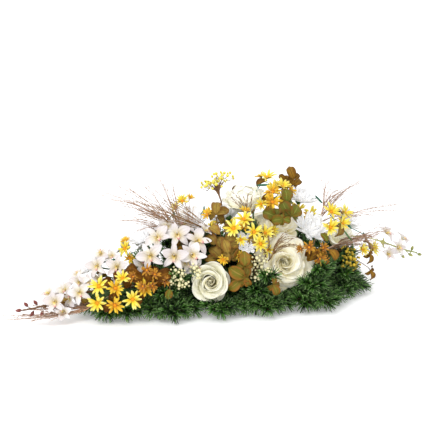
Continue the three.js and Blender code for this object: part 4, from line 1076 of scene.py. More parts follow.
# %% Spray tables
SPRAYS = {
    "daisies_tip": ("daisy", "stem", "daisy_yellow", [
        ((-446, -50, 82), (-0.5, -0.75, 0.4)), ((-416, -66, 78), (-0.2, -0.85, 0.5)),
        ((-456, -66, 53), (-0.5, -0.85, 0.1)), ((-424, -82, 48), (-0.2, -0.95, 0.2)),
        ((-388, -92, 58), (-0.3, -0.9, 0.3)), ((-360, -88, 78), (-0.2, -0.85, 0.4)),
        ((-398, -62, 96), (-0.4, -0.7, 0.6), 0, 16),
    ]),
    "orchid_left": ("orchid", "stem", "orchid_white", [
        ((-334, -62, 137), (-0.6, -0.75, 0.3), 10), ((-287, -78, 134), (-0.45, -0.85, 0.3), -20),
        ((-250, -88, 134), (-0.3, -0.85, 0.4), 24), ((-307, -35, 165), (-0.5, -0.6, 0.6), 30),
        ((-267, -48, 169), (-0.35, -0.7, 0.6), 0), ((-231, -72, 158), (-0.2, -0.8, 0.55), 40),
    ]),
    "orchid_low": ("orchid", "stem", "orchid_white", [
        ((-434, -8, 112), (-0.7, -0.6, 0.4), 10, 26), ((-398, -30, 112), (-0.5, -0.75, 0.4), -20, 26),
    ]),
    "orchid_tip": ("orchid", "brown_stem", "orchid_white", [
        ((-532, -18, 50), (-0.5, -0.75, 0.4), 0, 26), ((-504, 4, 62), (-0.5, -0.3, 0.8), 30, 26),
        ((-482, -28, 66), (-0.4, -0.8, 0.45), 12, 26), ((-474, -8, 80), (-0.5, -0.6, 0.6), -10, 24),
    ]),
    "orchid_right": ("orchid", "bud_green", "orchid_white", [
        ((282, -28, 96), (0.3, -0.6, 0.74), 0, 24), ((300, -52, 66), (0.2, -0.9, 0.3), 30, 24),
        ((344, -8, 66), (0.5, -0.3, 0.8), 10, 24), ((262, -66, 60), (0.1, -0.9, 0.3), -20, 22),
    ]),
    "orchid_back": ("orchid", "stem", "orchid_white", [
        ((-286, 78, 142), (-0.3, 0.75, 0.6), 0, 28), ((-336, 72, 112), (-0.5, 0.75, 0.4), 20, 28),
        ((-282, 96, 106), (-0.2, 0.9, 0.35), -20, 28),
    ]),
    "daisies_centre": ("daisy", "stem", "daisy_yellow", [
        ((-152, -86, 180), (-0.5, -0.7, 0.5)), ((-126, -82, 196), (-0.3, -0.6, 0.75)),
        ((-112, -104, 172), (-0.3, -0.8, 0.5)), ((-86, -104, 166), (0, -0.85, 0.5)),
        ((-106, -122, 150), (-0.2, -0.9, 0.35)),
    ]),
    "daisies_left": ("daisy", "stem", "daisy_yellow", [
        ((-368, 2, 138), (-0.5, -0.6, 0.6), 0, 17), ((-228, 14, 224), (-0.3, -0.5, 0.8), 0, 16),
    ]),
    "daisies_crown": ("daisy", "stem", "daisy_yellow", [
        ((-40, -52, 240), (-0.3, -0.6, 0.7)), ((-12, -44, 248), (0.1, -0.5, 0.85)),
        ((-48, -66, 222), (-0.3, -0.8, 0.5)), ((-30, -8, 262), (-0.2, -0.3, 0.93)),
    ]),
    "daisies_right": ("daisy", "stem", "daisy_yellow", [
        ((82, -100, 192), (0, -0.7, 0.7)), ((122, -94, 184), (0.4, -0.6, 0.7)),
        ((64, -128, 166), (-0.1, -0.85, 0.5)), ((98, -120, 170), (0.3, -0.85, 0.4)),
        ((160, -112, 98), (0.2, -0.9, 0.3), 0, 15), ((204, -88, 88), (0.5, -0.75, 0.3), 0, 18),
    ]),
    "daisies_low_right": ("amber", "stem", "amber_cloth", [
        ((4, -140, 132), (-0.3, -0.85, 0.4), 0, 15), ((20, -160, 110), (-0.1, -0.95, 0.2), 0, 15),
        ((40, -138, 126), (0.1, -0.9, 0.4), 0, 14),
    ]),
    "daisies_back": ("daisy", "stem", "daisy_yellow", [
        ((-84, 128, 130), (-0.2, 0.9, 0.4)), ((-54, 134, 118), (0, 0.95, 0.3)),
        ((-108, 122, 112), (-0.3, 0.9, 0.3)), ((-52, 116, 150), (0.1, 0.8, 0.6)),
    ]),
    "daisies_back_right": ("daisy", "stem", "daisy_yellow", [
        ((112, 96, 146), (0.3, 0.7, 0.6)), ((138, 82, 132), (0.6, 0.7, 0.4)),
        ((106, 112, 116), (0.3, 0.9, 0.3)),
    ]),
    "leaves_crown": ("leaf_brown", "brown_stem", "leaf_brown", [
        ((28, -12, 270), (-0.4, -0.8, 0.4), 20, 34), ((42, -14, 248), (0.1, -0.9, 0.4), -60, 30),
        ((2, -18, 262), (-0.5, -0.8, 0.3), 50, 22), ((-4, -16, 244), (-0.5, -0.8, 0.3), 100, 26),
    ]),
    "leaves_eucalyptus": ("leaf_green", "brown_stem", "leaf_green", [
        ((-20, -76, 238), (-0.2, -0.9, 0.4), 0, 34), ((-30, -90, 214), (-0.3, -0.9, 0.3), 20, 34),
        ((-70, -92, 205), (-0.5, -0.8, 0.3), 70, 34), ((-6, -96, 206), (0.1, -0.9, 0.4), -50, 36),
        ((-62, -114, 196), (-0.5, -0.8, 0.3), 100, 28),
    ]),
    "leaves_amber_left": ("leaf_amber", "brown_stem", "leaf_amber", [
        ((-371, -66, 100), (-0.5, -0.8, 0.3), 60, 44), ((-318, -92, 102), (-0.2, -0.9, 0.3), -70, 44),
        ((-352, -84, 106), (-0.4, -0.8, 0.4), 20, 30), ((-314, -110, 64), (-0.3, -0.9, 0.2), 170, 24),
    ]),
    "leaves_amber_centre": ("leaf_blush", "brown_stem", "leaf_amber", [
        ((-168, -134, 98), (-0.4, -0.9, 0.2), 60, 44), ((-146, -128, 124), (-0.3, -0.9, 0.3), 0, 36),
        ((-176, -138, 72), (-0.4, -0.9, 0.1), 130, 36), ((-92, -170, 58), (-0.2, -0.95, 0.1), 200, 28),
    ]),
    "leaves_gold": ("leaf_gold", "brown_stem", "leaf_gold", [
        ((-176, -98, 148), (-0.4, -0.8, 0.4), 20, 34), ((-160, -104, 134), (-0.3, -0.9, 0.3), -40, 32),
        ((-168, -34, 216), (-0.4, -0.6, 0.7), 0, 36), ((-150, -30, 204), (-0.3, -0.7, 0.6), -60, 32),
    ]),
    "leaves_right": ("leaf_brown", "brown_stem", "leaf_brown", [
        ((48, -132, 148), (0, -0.9, 0.4), 30, 24), ((184, -106, 70), (0.4, -0.9, 0.1), 170, 28),
        ((156, -158, 50), (0.3, -0.95, 0.1), 190, 26),
    ]),
    "leaves_back": ("leaf_green", "stem", "leaf_green", [
        ((-34, 92, 206), (0, 0.8, 0.6), 10, 36), ((-4, 86, 192), (0.3, 0.8, 0.5), -60, 36),
        ((-60, 88, 214), (-0.3, 0.7, 0.6), 60, 30),
    ]),
}
BUDS = {
    "orchid_tip": ("bud_red", [
        ((-606, -6, 39), (-1, 0, 0.1)), ((-590, -5, 48), (-0.6, 0, 0.8)),
        ((-570, -5, 49), (-0.5, 0.1, 0.8)), ((-580, -12, 31), (-0.6, -0.4, -0.7)),
        ((-560, -14, 29), (-0.5, -0.4, -0.7)),
    ]),
    "orchid_right": ("bud_green", [
        ((322, -44, 40), (0.5, -0.5, -0.7)), ((352, -34, 36), (0.6, -0.6, -0.4)),
        ((372, -14, 42), (0.6, 0.3, 0.8)), ((390, -20, 27), (0.9, 0, -0.3)),
    ]),
}
BUD_SIZES = (7.6, 7.6, 8.4)
KINDS = {"daisies": "daisy", "orchid": "orchid", "leaves": "leaf"}
BROAD = {"leaves_eucalyptus": 0.92}
CURLED = ("leaf_brown", "leaf_amber")
EXTRA_HEADS = {
    "orchid_tip": 2, "orchid_low": 2, "orchid_left": 1,
    "daisies_crown": 2, "daisies_left": 2, "daisies_tip": 0, "daisies_right": 0,
}
GOLDEN_HEADS = {"daisies_tip": (1, 3, 5), "daisies_crown": (0, 2)}
BACK_LEAVES = {
    "daisies_tip": "leaf_amber",
    "daisies_centre": "leaf_gold",
    "daisies_crown": "leaf_brown",
    "daisies_right": "leaf_gold",
    "daisies_low_right": "leaf_amber",
    "orchid_tip": "leaf_gold",
    "orchid_low": "leaf_blush",
    "orchid_left": "leaf_brown",
}
EXTRA_FLOWERS = {"leaves_amber_left": (2, "amber"), "leaves_gold": (1, "golden")}
FILL_LEAVES = {
    "leaves_gold": (
        (-175, -60, 60),
        [
            (-202, -74, 160), (-184, -80, 152), (-161, -88, 160), (-196, -84, 132), (-172, -92, 134),
            (-155, -95, 146), (-190, -66, 176), (-206, -84, 118),
        ],
    ),
    "leaves_amber_left": (
        (-360, -40, 55),
        [
            (-395, -42, 97), (-373, -49, 108), (-355, -65, 84),
            (-331, -69, 105), (-314, -82, 89), (-387, -52, 77),
        ],
    ),
    "leaves_amber_centre": ((-140, -90, 60), [(-152, -110, 129), (-135, -121, 118), (-170, -121, 67)]),
    "leaves_right": ((40, -90, 70), [(12, -133, 113), (35, -145, 110), (57, -154, 113)]),
}
LONE_LEAF = {"leaves_amber_left": 24, "leaves_right": 24}
print("heads in all:", sum(len(heads) for _, _, _, heads in SPRAYS.values()))

# %% [markdown]
# Each head is set down where its solid stands, and the plain head is cut out of the spray's stems.
# A leaf hides the foot of most flowers, smaller flowers or leaves fill the room beside a head, and a
# few green leaves stand alone. The draws are taken in one fixed order, so a spray never changes.
# A row of a flower gives the leaf's size, how many smaller flowers there usually are, how far aside
# and back they stand, their size and how thick their stalks are.

# %% Dressing the sprays
REACHES = {"daisy": (1.04, 9), "orchid": (1.04, 12), "bud": (1.2, 14), "berry": (1.15, 8)}
FLOWERS = {
    "daisy": (daisy_head, (1.4, 1.8), 1, 1.15, 0.4, 0.72, 0.6),
    "orchid": (orchid_head, (0.9, 1.2), 0, 0.9, 0.35, 0.8, 0.7),
}
LEAF_BREADTH = 0.72
FILL_BREADTH = 0.78
SMALL_FLOWER = 13


def back_leaf(heap, name, base, size, draw):
    """A leaf under a flower, on the same stem."""
    if name in BACK_LEAVES:
        turned = Matrix.Rotation(2 * math.pi * next(draw), 4, "Z") @ Matrix.Rotation(-0.5, 4, "X")
        behind = base @ Matrix.Translation((0, 0, -5)) @ turned
        sizes = (0.7 * size, size, size)
        set_down(heap, PATTERN["curled_leaf"], behind, BACK_LEAVES[name], next(draw), sizes)


def placed_heads(kind, heads):
    """Each head's base and size, with what its row leaves out filled in."""
    for at, *rest in heads:
        face = rest[0] if rest else None
        roll = rest[1] if len(rest) > 1 else 0
        size = rest[2] if len(rest) > 2 else SIZES[kind]
        yield head_frame(kind, at, face, roll, size), size


def head_test(kind, base, size, broad=1):
    """A test for points of a plain head of this kind."""
    if kind == "leaf":
        return inside_blade(base.inverted(), size, size * broad)
    reach, top = REACHES[kind]
    return within(base.inverted(), reach * size, top)


def dress_flower(heap, name, index, base, size, finish, stem, kind, draw):
    """A flower, the leaf under it, and smaller flowers on stalks beside it."""
    head, leaf_sizes, usual, spread, back, smaller, thick = FLOWERS[kind]
    first = "golden" if index in GOLDEN_HEADS.get(name, ()) else finish
    head(heap, base, size, draw, first)
    back_leaf(heap, name, base, size * mix(*leaf_sizes, next(draw)), draw)
    for beside, line in companions(base, size, EXTRA_HEADS.get(name, usual), spread, back, draw):
        other = "golden" if finish == "daisy" and next(draw) < 0.4 else finish
        head(heap, beside, smaller * size, draw, other)
        stalk(heap, line, thick, stem)


def dress_leaf(heap, name, index, base, size, finish, stem, broad, draw):
    """A leaf with three smaller ones at its foot, and now and then a small flower."""
    if size == LONE_LEAF.get(name):
        set_down(heap, PATTERN["leaf"], base, "leaf_green", 0.2, (size * broad, size, size))
        return
    blade = "curled_leaf" if finish in CURLED or index % 2 == 0 else "leaf"
    set_down(heap, PATTERN[blade], base, finish, next(draw) * 0.8, (size * broad, size, size))
    for side in (-1, 1, 2):
        other = base @ Matrix.Rotation(math.radians(side * mix(50, 80, next(draw))), 4, "Z")
        other = other @ Matrix.Rotation(math.radians(-mix(10, 30, next(draw))), 4, "X")
        small = size * mix(0.55, 0.75, next(draw))
        set_down(heap, PATTERN["curled_leaf"], other, finish, next(draw), (small * broad, small, small))
    count, petals = EXTRA_FLOWERS.get(name, (0, ""))
    for beside, line in companions(base, size, count, 0.5, -0.15, draw):
        daisy_head(heap, beside, SMALL_FLOWER, draw, petals)
        stalk(heap, line, 0.6, stem)


def fill_leaves(heap, name, finish, draw):
    """Leaves that close the gaps between a spray's own, each on a stem from the foam."""
    root, places = FILL_LEAVES.get(name, ((0, 0, 0), ()))
    for at in places:
        long = mix(26, 38, next(draw))
        base = pose(at, outward(at), 360 * next(draw)) @ Matrix.Translation((0, -0.5 * long, 0))
        set_down(heap, PATTERN["curled_leaf"], base, finish, next(draw), (FILL_BREADTH * long, long, long))
        stalk(heap, (root, (root[0], root[1], at[2]), at), 0.7, "brown_stem")


for number, (name, (finish, stem, slot, heads)) in enumerate(SPRAYS.items()):
    heap = []
    draw = draws(300 + number)
    kind = KINDS[name.split("_")[0]]
    broad = BROAD.get(name, LEAF_BREADTH)
    tests = []
    for index, (base, size) in enumerate(placed_heads(kind, heads)):
        tests.append(head_test(kind, base, size, broad))
        if kind == "leaf":
            dress_leaf(heap, name, index, base, size, finish, stem, broad, draw)
        else:
            dress_flower(heap, name, index, base, size, finish, stem, kind, draw)
    bud_finish, buds = BUDS.get(name, ("", ()))
    for base, size in placed_heads("bud", buds):
        tests.append(head_test("bud", base, size))
        set_down(heap, PATTERN["bud"], base, bud_finish, next(draw), BUD_SIZES)
    fill_leaves(heap, name, finish, draw)
    bare_stems(heap, name, lambda point: any(test(point) for test in tests), stem)
    finished(name + "_cloth", heap, name, slot)
print("sprays:", len(SPRAYS), "triangles:", sum(TALLY.values()))

# %% [markdown]
# Berries stand like sunflower seeds over a disc, each a golden turn on from the last. Each solid
# berry gets its round form and smaller ones on thin stalks beside it, as the moulded bunches have.
# A bunch is its middle, its spread, how many solid berries it has, and the seed of its draws.

# %% Berries
GOLDEN_TURN = math.radians(137.5)
BERRY_SIZES = (8.0, 8.0, 8.0)
SMALL_BERRIES = {
    "berries_crown": (4, 12),
    "berries_left": (5, 8),
    "berries_centre": (5, 8),
    "berries_right": (9, 12),
}
BERRIES = {
    "berries_crown": ("berry_yellow", "brown_stem", "berry_yellow", [((-151, 10, 268), 34, 11, 11)]),
    "berries_left": (
        "berry_pale", "stem", "berry_pale", [((-290, -106, 92), 21, 7, 21), ((-250, -112, 108), 11, 3, 22)],
    ),
    "berries_centre": ("berry_pale", "brown_stem", "berry_yellow", [((-116, -140, 104), 24, 8, 31)]),
    "berries_right": ("berry_mustard", "stem", "berry_mustard", [((122, -128, 84), 22, 8, 41)]),
}


def bunch_places(at, spread, count, seed):
    """Where the solid berries of a bunch stand."""
    draw = draws(seed)
    matrix = pose(at, outward(at))
    for k in range(count):
        reach = spread * math.sqrt((k + 0.5) / count)
        angle = k * GOLDEN_TURN
        rise = mix(-0.3, 0.3, next(draw)) * spread
        yield matrix @ Vector((reach * math.cos(angle), reach * math.sin(angle), rise))


for number, (name, (finish, stem, slot, bunches)) in enumerate(BERRIES.items()):
    heap = []
    draw = draws(500 + number)
    tests = []
    for bunch in bunches:
        for at in bunch_places(*bunch):
            base = head_frame("berry", at, None, 0, SIZES["berry"])
            tests.append(head_test("berry", base, SIZES["berry"]))
            set_down(heap, PATTERN["berry"], base, finish, next(draw) * 0.5, BERRY_SIZES)
            count, spread = SMALL_BERRIES[name]
            for k in range(count):
                angle = 360 / count * k + 60 * next(draw)
                beside = base @ Matrix.Rotation(math.radians(angle), 4, "Z")
                reach = spread * mix(0.8, 1.2, next(draw))
                small = beside @ Matrix.Translation((reach, 0, mix(-5.5, 3.5, next(draw))))
                wide = mix(4.6, 6.4, next(draw))
                set_down(heap, PATTERN["small_berry"], small, finish, next(draw), (wide, wide, wide))
                root, foot = beside @ Vector((0, 0, -9)), small.translation
                stalk(heap, (root, root.lerp(foot, 0.6), foot), 0.45, stem, 4, 3)
    bare_stems(heap, name, lambda point: any(test(point) for test in tests), stem)
    finished(name + "_fruit", heap, name, slot)
print("berries done, triangles:", sum(TALLY.values()))

# %% [markdown]
# The fir picks. Each twig of a solid pick is found again by its tip, which is one corner of the
# solid, and then needled afresh: flat blunt strips of plastic lean forwards all round it, closer to
# its own way at the tip, so that it ends in a brush. A twig that would poke into a flower is left
# out. A row of a twig is its turn, how far it reaches, how high its middle lifts and its tip ends.

# %% Fir picks
FOAM_RADIUS = 110
FOAM_TIP_X = -380
TAPER = math.asin(FOAM_RADIUS / -FOAM_TIP_X)
PICK_HEIGHT = 20
PICK_DEPTH = 24
PICK_FORK = 14
TIP_SHARE = 0.42
FOAM_HEIGHT = 45
NEEDLES_PER_MM = 1.55
NEEDLE_LENGTH = 24
NEEDLE_WIDTH = 2.9
NEEDLE_LEAN = 52
NEEDLE_DROOP = 0.06
BRUSH_LENGTH = 14
BRUSH_RADIUS = 16
SIDE_ROOM = 8
LOW_TWIGS = [(-42, 76, 8, 0), (0, 84, 6, 1), (42, 76, 8, 0)]
HIGH_TWIGS = [(-26, 62, 32, 36), (24, 48, 52, 66)]
RIM_TWIGS = [(-64, 58, 12, 4), (-21, 68, 10, 0), (21, 68, 10, 0), (64, 58, 12, 4)]
TIP_FILL = [
    (100, 80, 12, 4), (120, 90, 14, 6), (138, 84, 16, 10),
    (60, 60, 30, 30), (-100, 80, 12, 4), (-130, 80, 14, 8),
]
TIP_TWIGS = [(-80, 76, 7, 0), (-40, 80, 7, 0), (0, 84, 6, 1), (40, 80, 7, 0), (80, 76, 7, 0)]
TOP_TWIGS = [(72 * k, *((74, 44, 52) if k % 2 else (54, 56, 84))) for k in range(5)]
SWAYS = (0, 5, -5, 10, -10, 15, -15, 20, -20)
COVER_TWIGS = [(-62, 22, 4), (-34, 38, 40), (2, 42, 48), (36, 38, 40), (62, 22, 4)]
SIDE_SHARES = (0.24, 0.5, 0.72)
TWIG_GAP = 7.0
FOUND_WITHIN = 0.3


def level_way(degrees):
    """The level way at a turn from +X."""
    return Vector((math.cos(math.radians(degrees)), math.sin(math.radians(degrees)), 0))


def pick_seats():
    """Each pick's name, its place on the foam's rim and the way it points."""
    yield "tip", (FOAM_TIP_X + 12, 0), 180
    for side_name, side in (("front", -1), ("back", 1)):
        for k, along in enumerate((105, 205, 305)):
            at = (FOAM_TIP_X + along * math.cos(TAPER), side * along * math.sin(TAPER))
            yield "%s_%d" % (side_name, k + 1), at, side * (90 + math.degrees(TAPER))
        for k, angle in enumerate((84, 42)):
            turned = math.radians(side * angle)
            at = (FOAM_RADIUS * math.cos(turned), FOAM_RADIUS * math.sin(turned))
            yield "%s_%d" % (side_name, k + 4), at, side * angle
    yield "head", (FOAM_RADIUS, 0), 0


def corner_finder(node):
    """A function that tells how far the nearest corner of a solid is from a point."""
    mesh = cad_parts[node].data
    tree = KDTree(len(mesh.vertices))
    for corner in mesh.vertices:
        tree.insert(corner.co / MM, corner.index)
    tree.balance()
    return lambda point: tree.find(point)[2]


def twig_line(fork, way, twig, sway):
    """Control points of a twig: the fork, a point that lifts it, and its tip."""
    turned, reach, lift, rise = twig
    level = level_way(way + turned + sway) * reach
    return fork, fork + level * TIP_SHARE + Vector((0, 0, lift)), fork + level + Vector((0, 0, rise))


def found_twigs(fork, way, twigs, distance):
    """The lines of those twigs whose tip is a corner of the solid, swayed as the solid has them."""
    for twig in twigs:
        for sway in SWAYS:
            line = twig_line(fork, way, twig, sway)
            if distance(line[2]) < FOUND_WITHIN:
                yield line
                break


def needled(heap, line, random, start=8, share=1.0):
    """A twig along a curve, with needles all round it that close up into a brush at its tip."""
    points = arc(line, 14)
    rod(heap, points, np.linspace(1.5, 0.7, len(points)) * share, "twig")
    marks = np.concatenate(([0], np.cumsum(np.linalg.norm(np.diff(points, axis=0), axis=1))))
    length = marks[-1]
    count = int((length - start) * NEEDLES_PER_MM)
    along = start + (np.arange(count) + random.random(count)) / count * (length - start)
    centre, way, side, over = read_along(points, marks, along)
    angle = np.arange(count) * GOLDEN_TURN + random.random(count) * 0.8
    brush = np.clip((along - length + BRUSH_LENGTH) / BRUSH_LENGTH, 0, 1)
    lean = np.radians(NEEDLE_LEAN - 30 * brush + random.normal(0, 7, count))
    away, y = leaning(way, side, over, angle, lean)
    y[:, 2] -= NEEDLE_DROOP
    y /= np.linalg.norm(y, axis=1)[:, None]
    size = NEEDLE_LENGTH * share * (0.82 + 0.3 * random.random(count)) * (1 - 0.15 * brush)
    sizes = np.column_stack((np.full(count, NEEDLE_WIDTH), size, np.full(count, NEEDLE_WIDTH * 0.5)))
    # Random tones per twig and needle; the darkest needles also stand in for painted shade deep in the brush.
    tones = np.clip(random.random() * 0.3 + random.random(count) * 1.2 - 0.25, 0, 1)
    set_spikes(heap, "needle", centre, away, y, sizes, tones, "needle")


def near_bloom(line, room):
    """Whether a twig would poke into a flower."""
    for _, _, _, face, way, radius, depth in BLOOMS:
        middle = Vector(face) - Vector(way).normalized() * depth * 0.4
        if any((Vector(point) - middle).length < radius + room for point in arc(line, 8)[3:]):
            return True
    return False


def side_twigs(heap, line, random):
    """Pairs of shorter twigs that branch off a twig, as on a real branch."""
    points = arc(line, 21)
    length = np.linalg.norm(np.diff(points, axis=0), axis=1).sum()
    for share in SIDE_SHARES:
        step = int(share * 20)
        root = points[step]
        way = points[step + 1] - points[step]
        way /= np.linalg.norm(way)
        flat = np.cross((0, 0, 1), way)
        flat /= np.linalg.norm(flat)
        for side in (-1, 1):
            reach = length * (0.62 - 0.4 * share) * random.uniform(0.9, 1.15)
            lean = math.radians(random.uniform(34, 50))
            end = root + (way * math.cos(lean) + flat * side * math.sin(lean)) * reach
            end[2] = max(end[2] + random.uniform(-4, 10), TWIG_GAP)
            middle = (root + end) / 2 + way * reach * 0.12 + np.array([0, 0, random.uniform(0, 6)])
            if not near_bloom((root, middle, end), SIDE_ROOM):
                needled(heap, (root, middle, end), random, start=3, share=0.88)


def cover_twigs(fork, level, random):
    """Twigs bent up over the edge of the foam, which hide its wall and its rim."""
    along = Vector((-level.y, level.x, 0))
    for turned, high, back in COVER_TWIGS:
        lean = along * turned
        middle = fork + level * 12 + lean * 0.5 + Vector((0, 0, high))
        end = fork - level * back + lean + Vector((0, 0, high + 4 + 6 * random.random()))
        yield fork, middle, end


twig_count = 0
for number, (name, at, way) in enumerate(pick_seats()):
    node = "fir_" + name
    level = level_way(way)
    mouth = Vector((*at, PICK_HEIGHT))
    fork = mouth + level * PICK_FORK
    twigs = TIP_TWIGS if name == "tip" else LOW_TWIGS + HIGH_TWIGS
    heap = []
    random = np.random.default_rng(700 + number)
    peg = np.array([mouth - level * PICK_DEPTH, mouth, fork + level * 3])
    rod(heap, peg, (2.2, 2.2, 2.0), "twig")
    for line in found_twigs(fork, way, twigs, corner_finder(node)):
        needled(heap, line, random)
        side_twigs(heap, line, random)
        twig_count += 1
    fill = [twig_line(fork, way, twig, 0) for twig in RIM_TWIGS]
    if name == "tip":
        fill += [twig_line(fork, way, twig, 0) for twig in TIP_FILL]
    else:
        fill += cover_twigs(fork, level, random)
    for line in fill:
        if not near_bloom(line, BRUSH_RADIUS):
            needled(heap, line, random)
    finished(node + "_needles", heap, node, "fir_green")
print("twigs of the picks round the rim:", twig_count, "triangles:", sum(TALLY.values()))

# %% [markdown]
# Three more picks stand upright in the top of the foam. How far each foot moved aside to clear its
# neighbours isn't known here, so the feet round its place are tried and the one whose twigs match
# the most tips of the solid is taken. A ring of low twigs closes the gap round it.

# %% Fir picks on top
TOP_PICKS = [(-214, 4), (-136, 34), (-10, 12)]
RING_TWIGS = 7
FOOT_OFFSETS = [(0, 0)] + [
    (size * math.cos(k * math.pi / 4), size * math.sin(k * math.pi / 4)) for size in (9, 18) for k in range(8)
]
for number, (x, y) in enumerate(TOP_PICKS):
    node = "fir_top_%d" % (number + 1)
    distance = corner_finder(node)
    best = []
    for foot_x, foot_y in FOOT_OFFSETS:
        fork = Vector((x + foot_x, y + foot_y, FOAM_HEIGHT + 6))
        lines = list(found_twigs(fork, 0, TOP_TWIGS, distance))
        if len(lines) > len(best):
            best = lines
    heap = []
    random = np.random.default_rng(800 + number)
    fork = best[0][0]
    rod(heap, np.array([fork - Vector((0, 0, 22)), fork]), (2.0, 2.0), "twig")
    for line in best:
        needled(heap, line, random)
        side_twigs(heap, line, random)
        twig_count += 1
    for k in range(RING_TWIGS):
        away = level_way(360 / RING_TWIGS * k + 20 * random.random())
        needled(heap, (fork, fork + away * 30 + Vector((0, 0, 14)), fork + away * 66), random)
    finished(node + "_needles", heap, node, "fir_green")
print("twigs:", twig_count, "triangles:", sum(TALLY.values()))

# %% [markdown]
# Dry grass. A strand of the solid is read back from its tip: the corners next to the tip are its
# last ring, the next ones its bend, and the next its root. A smooth line through those three places
# carries slim seeds, and more such hairs beside it make the feathery pink-brown plume. Two brown
# twig fans stand behind the flowers, drawn the same way.

# %% Dry grass
GRASSES = {
    "grass_tip": [(-639, 0, 32), (-622, -14, 25), (-604, 12, 36), (-586, -28, 22), (-560, 24, 30)],
    "grass_left": [
        (-412, 40, 262), (-363, 40, 266), (-380, 20, 211), (-305, 40, 260), (-274, 30, 274), (-250, 20, 267),
        (-217, 10, 240),
    ],
    "grass_centre": [
        (-38, -150, 160), (-30, -160, 146), (-60, -150, 178), (-100, -150, 176), (-122, -160, 150),
    ],
    "grass_right_high": [
        (122, -10, 237), (149, -20, 215), (186, 0, 213), (228, 10, 223), (191, -60, 167), (316, -20, 164),
    ],
    "grass_right_low": [
        (218, -90, 109), (250, -96, 132), (190, -120, 118), (168, -130, 130), (240, -110, 88),
    ],
}
SEED_START = 0.3
STRAND_RADIUS = 0.6
HAIRS_PER_TWIG = 3
CLEARED = 5
SEEDS_PER_MM = 0.5
HAIR_SHARES = (1.0, 0.96, 0.9, 0.82, 0.72, 0.6, 0.46)
HAIR_MORE = {
    "grass_left": (0.7, 0.6, 0.5, 0.42, 0.36),
    "grass_right_low": (0.7, 0.5, 0.4),
    "grass_tip": (0.88, 0.76, 0.64, 0.5, 0.4),
}
HAIR_SPREAD = {"grass_tip": 5, "grass_centre": 5}
TWIG_FANS = {
    "grass_centre": (
        (-96, -20, 50),
        (-100, -46, 186),
        [(-135, -40, 236), (-120, -42, 243), (-106, -46, 242), (-92, -52, 232), (-82, -58, 216)],
    ),
    "grass_left": (
        (-186, -30, 50),
        (-184, -48, 166),
        [
            (-305, -24, 234), (-288, -24, 242), (-324, -24, 228), (-270, -26, 247), (-336, -22, 216),
            (-354, -20, 250), (-296, -30, 222),
        ],
    ),
}


def strand_places(mesh, tip):
    """The tip, bend and root of a strand, by walking out from its tip corner by corner."""
    start = min(mesh.verts, key=lambda corner: (corner.co / MM - Vector(tip)).length)
    seen = {start}
    ring = {start}
    places = [start.co / MM]
    for _ in range(3):
        ring = {edge.other_vert(corner) for corner in ring for edge in corner.link_edges} - seen
        if not ring:
            break
        seen |= ring
        places.append(sum((corner.co for corner in ring), Vector()) / len(ring) / MM)
    return places[0], places[2], places[3] if len(places) > 3 else places[2]


def grass_strand(heap, root, bend, tip, random, finish, share, spread):
    """A hair-thin strand with seeds over its outer part."""
    root, bend, tip = (np.array(point) for point in (root, bend, tip))
    end = root + (tip - root) * share + random.normal(0, spread, 3)
    middle = root + (bend - root) * share + random.normal(0, spread * 0.5, 3)
    points = arc((root, middle * 1.7 - (root + end) * 0.35, end), 9)
    radii = np.linspace(STRAND_RADIUS, STRAND_RADIUS * 0.5, len(points))
    rod(heap, points, radii, finish, random.random() * 0.5, around=3)
    length = np.linalg.norm(np.diff(points, axis=0), axis=1).sum()
    count = int(length * (1 - SEED_START) * SEEDS_PER_MM)
    along = mix(SEED_START, 1.0, np.sort(random.random(count)))
    centre, way, side, over = read_along(points, np.linspace(0, 1, len(points)), along)
    angle = random.random(count) * 2 * math.pi
    away, y = leaning(way, side, over, angle, np.radians(14 + 16 * random.random(count)))
    sizes = np.column_stack((np.full(count, 1.0), 3.5 + 3 * random.random(count), np.full(count, 0.9)))
    set_spikes(heap, "seed", centre, away, y, sizes, random.random(count), finish)


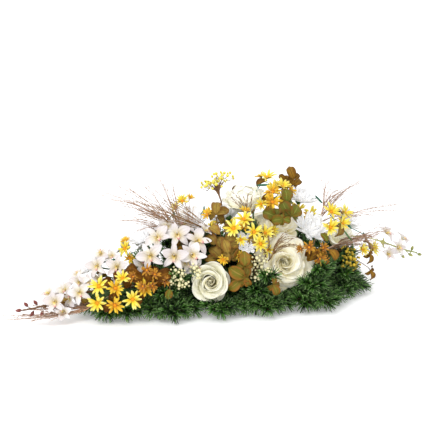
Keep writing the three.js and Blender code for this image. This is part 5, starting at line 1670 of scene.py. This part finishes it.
for number, (name, tips) in enumerate(GRASSES.items()):
    heap = []
    random = np.random.default_rng(900 + number)
    merged = bmesh.new()
    merged.from_mesh(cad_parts[name].data)
    bmesh.ops.remove_doubles(merged, verts=merged.verts, dist=MERGE_GAP)
    finish = "straw" if name == "grass_centre" else "grass"
    gone = []
    for tip in tips:
        end, bend, root = strand_places(merged, tip)
        gone += [end, bend]
        for share in HAIR_SHARES + HAIR_MORE.get(name, ()):
            spread = 0 if share == 1.0 else HAIR_SPREAD.get(name, 8)
            grass_strand(heap, root, bend, end, random, finish, share, spread)
    merged.free()
    if name in TWIG_FANS:
        foot, root, fan = TWIG_FANS[name]
        foot, root = Vector(foot), Vector(root)
        stalk(heap, (foot, foot.lerp(root, 0.5), root), 1.0, "straw", around=ROD_SIDES)
        for tip in fan:
            for _ in range(HAIRS_PER_TWIG):
                bend = root.lerp(Vector(tip), 0.5) + Vector((0, -4, 4))
                grass_strand(heap, root, bend, tip, random, "straw", 1.0, 5)
    bare_stems(heap, name, lambda point: any((point - place).length < CLEARED for place in gone), finish)
    finished(name + "_plumes", heap, name, "dry_grass")
print("grass done, triangles:", sum(TALLY.values()))

# %% [markdown]
# The foam stays as the solid has it. Only its skin is seen between the needles, so it gets a dark
# green, finely pitted finish and nothing more.

# %% Foam
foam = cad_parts["foam_base"]
foam.data.materials.clear()
foam.data.materials.append(FINISH["foam"])
print("foam:", FINISH["foam"].name)

# %% [markdown]
# The floor is one large plain sheet under the wreath, pale and with a faint glow of its own, so
# that it runs into the white of the room.

# %% Floor
FLOOR_SIZE = 40
FLOOR_GLOW = 0.22

bpy.ops.object.select_all(action="DESELECT")
bpy.ops.mesh.primitive_plane_add(size=FLOOR_SIZE, location=(0, 0, 0))
floor = bpy.context.object
floor.name = "floor"
floor_finish, floor_shader = new_finish("pale_floor", 0.9)
floor_shader.inputs["Base Color"].default_value = (0.93, 0.93, 0.94, 1)
floor_shader.inputs["Emission Color"].default_value = (1, 1, 1, 1)
floor_shader.inputs["Emission Strength"].default_value = FLOOR_GLOW
floor.data.materials.append(floor_finish)
print("floor: %d m" % FLOOR_SIZE)

# %% [markdown]
# The dressed wreath keeps the size of the solids, apart from needles and petals that reach a little
# further. At the end its triangles are counted.

# %% Triangle count
print("triangles in all:", sum(TALLY.values()))
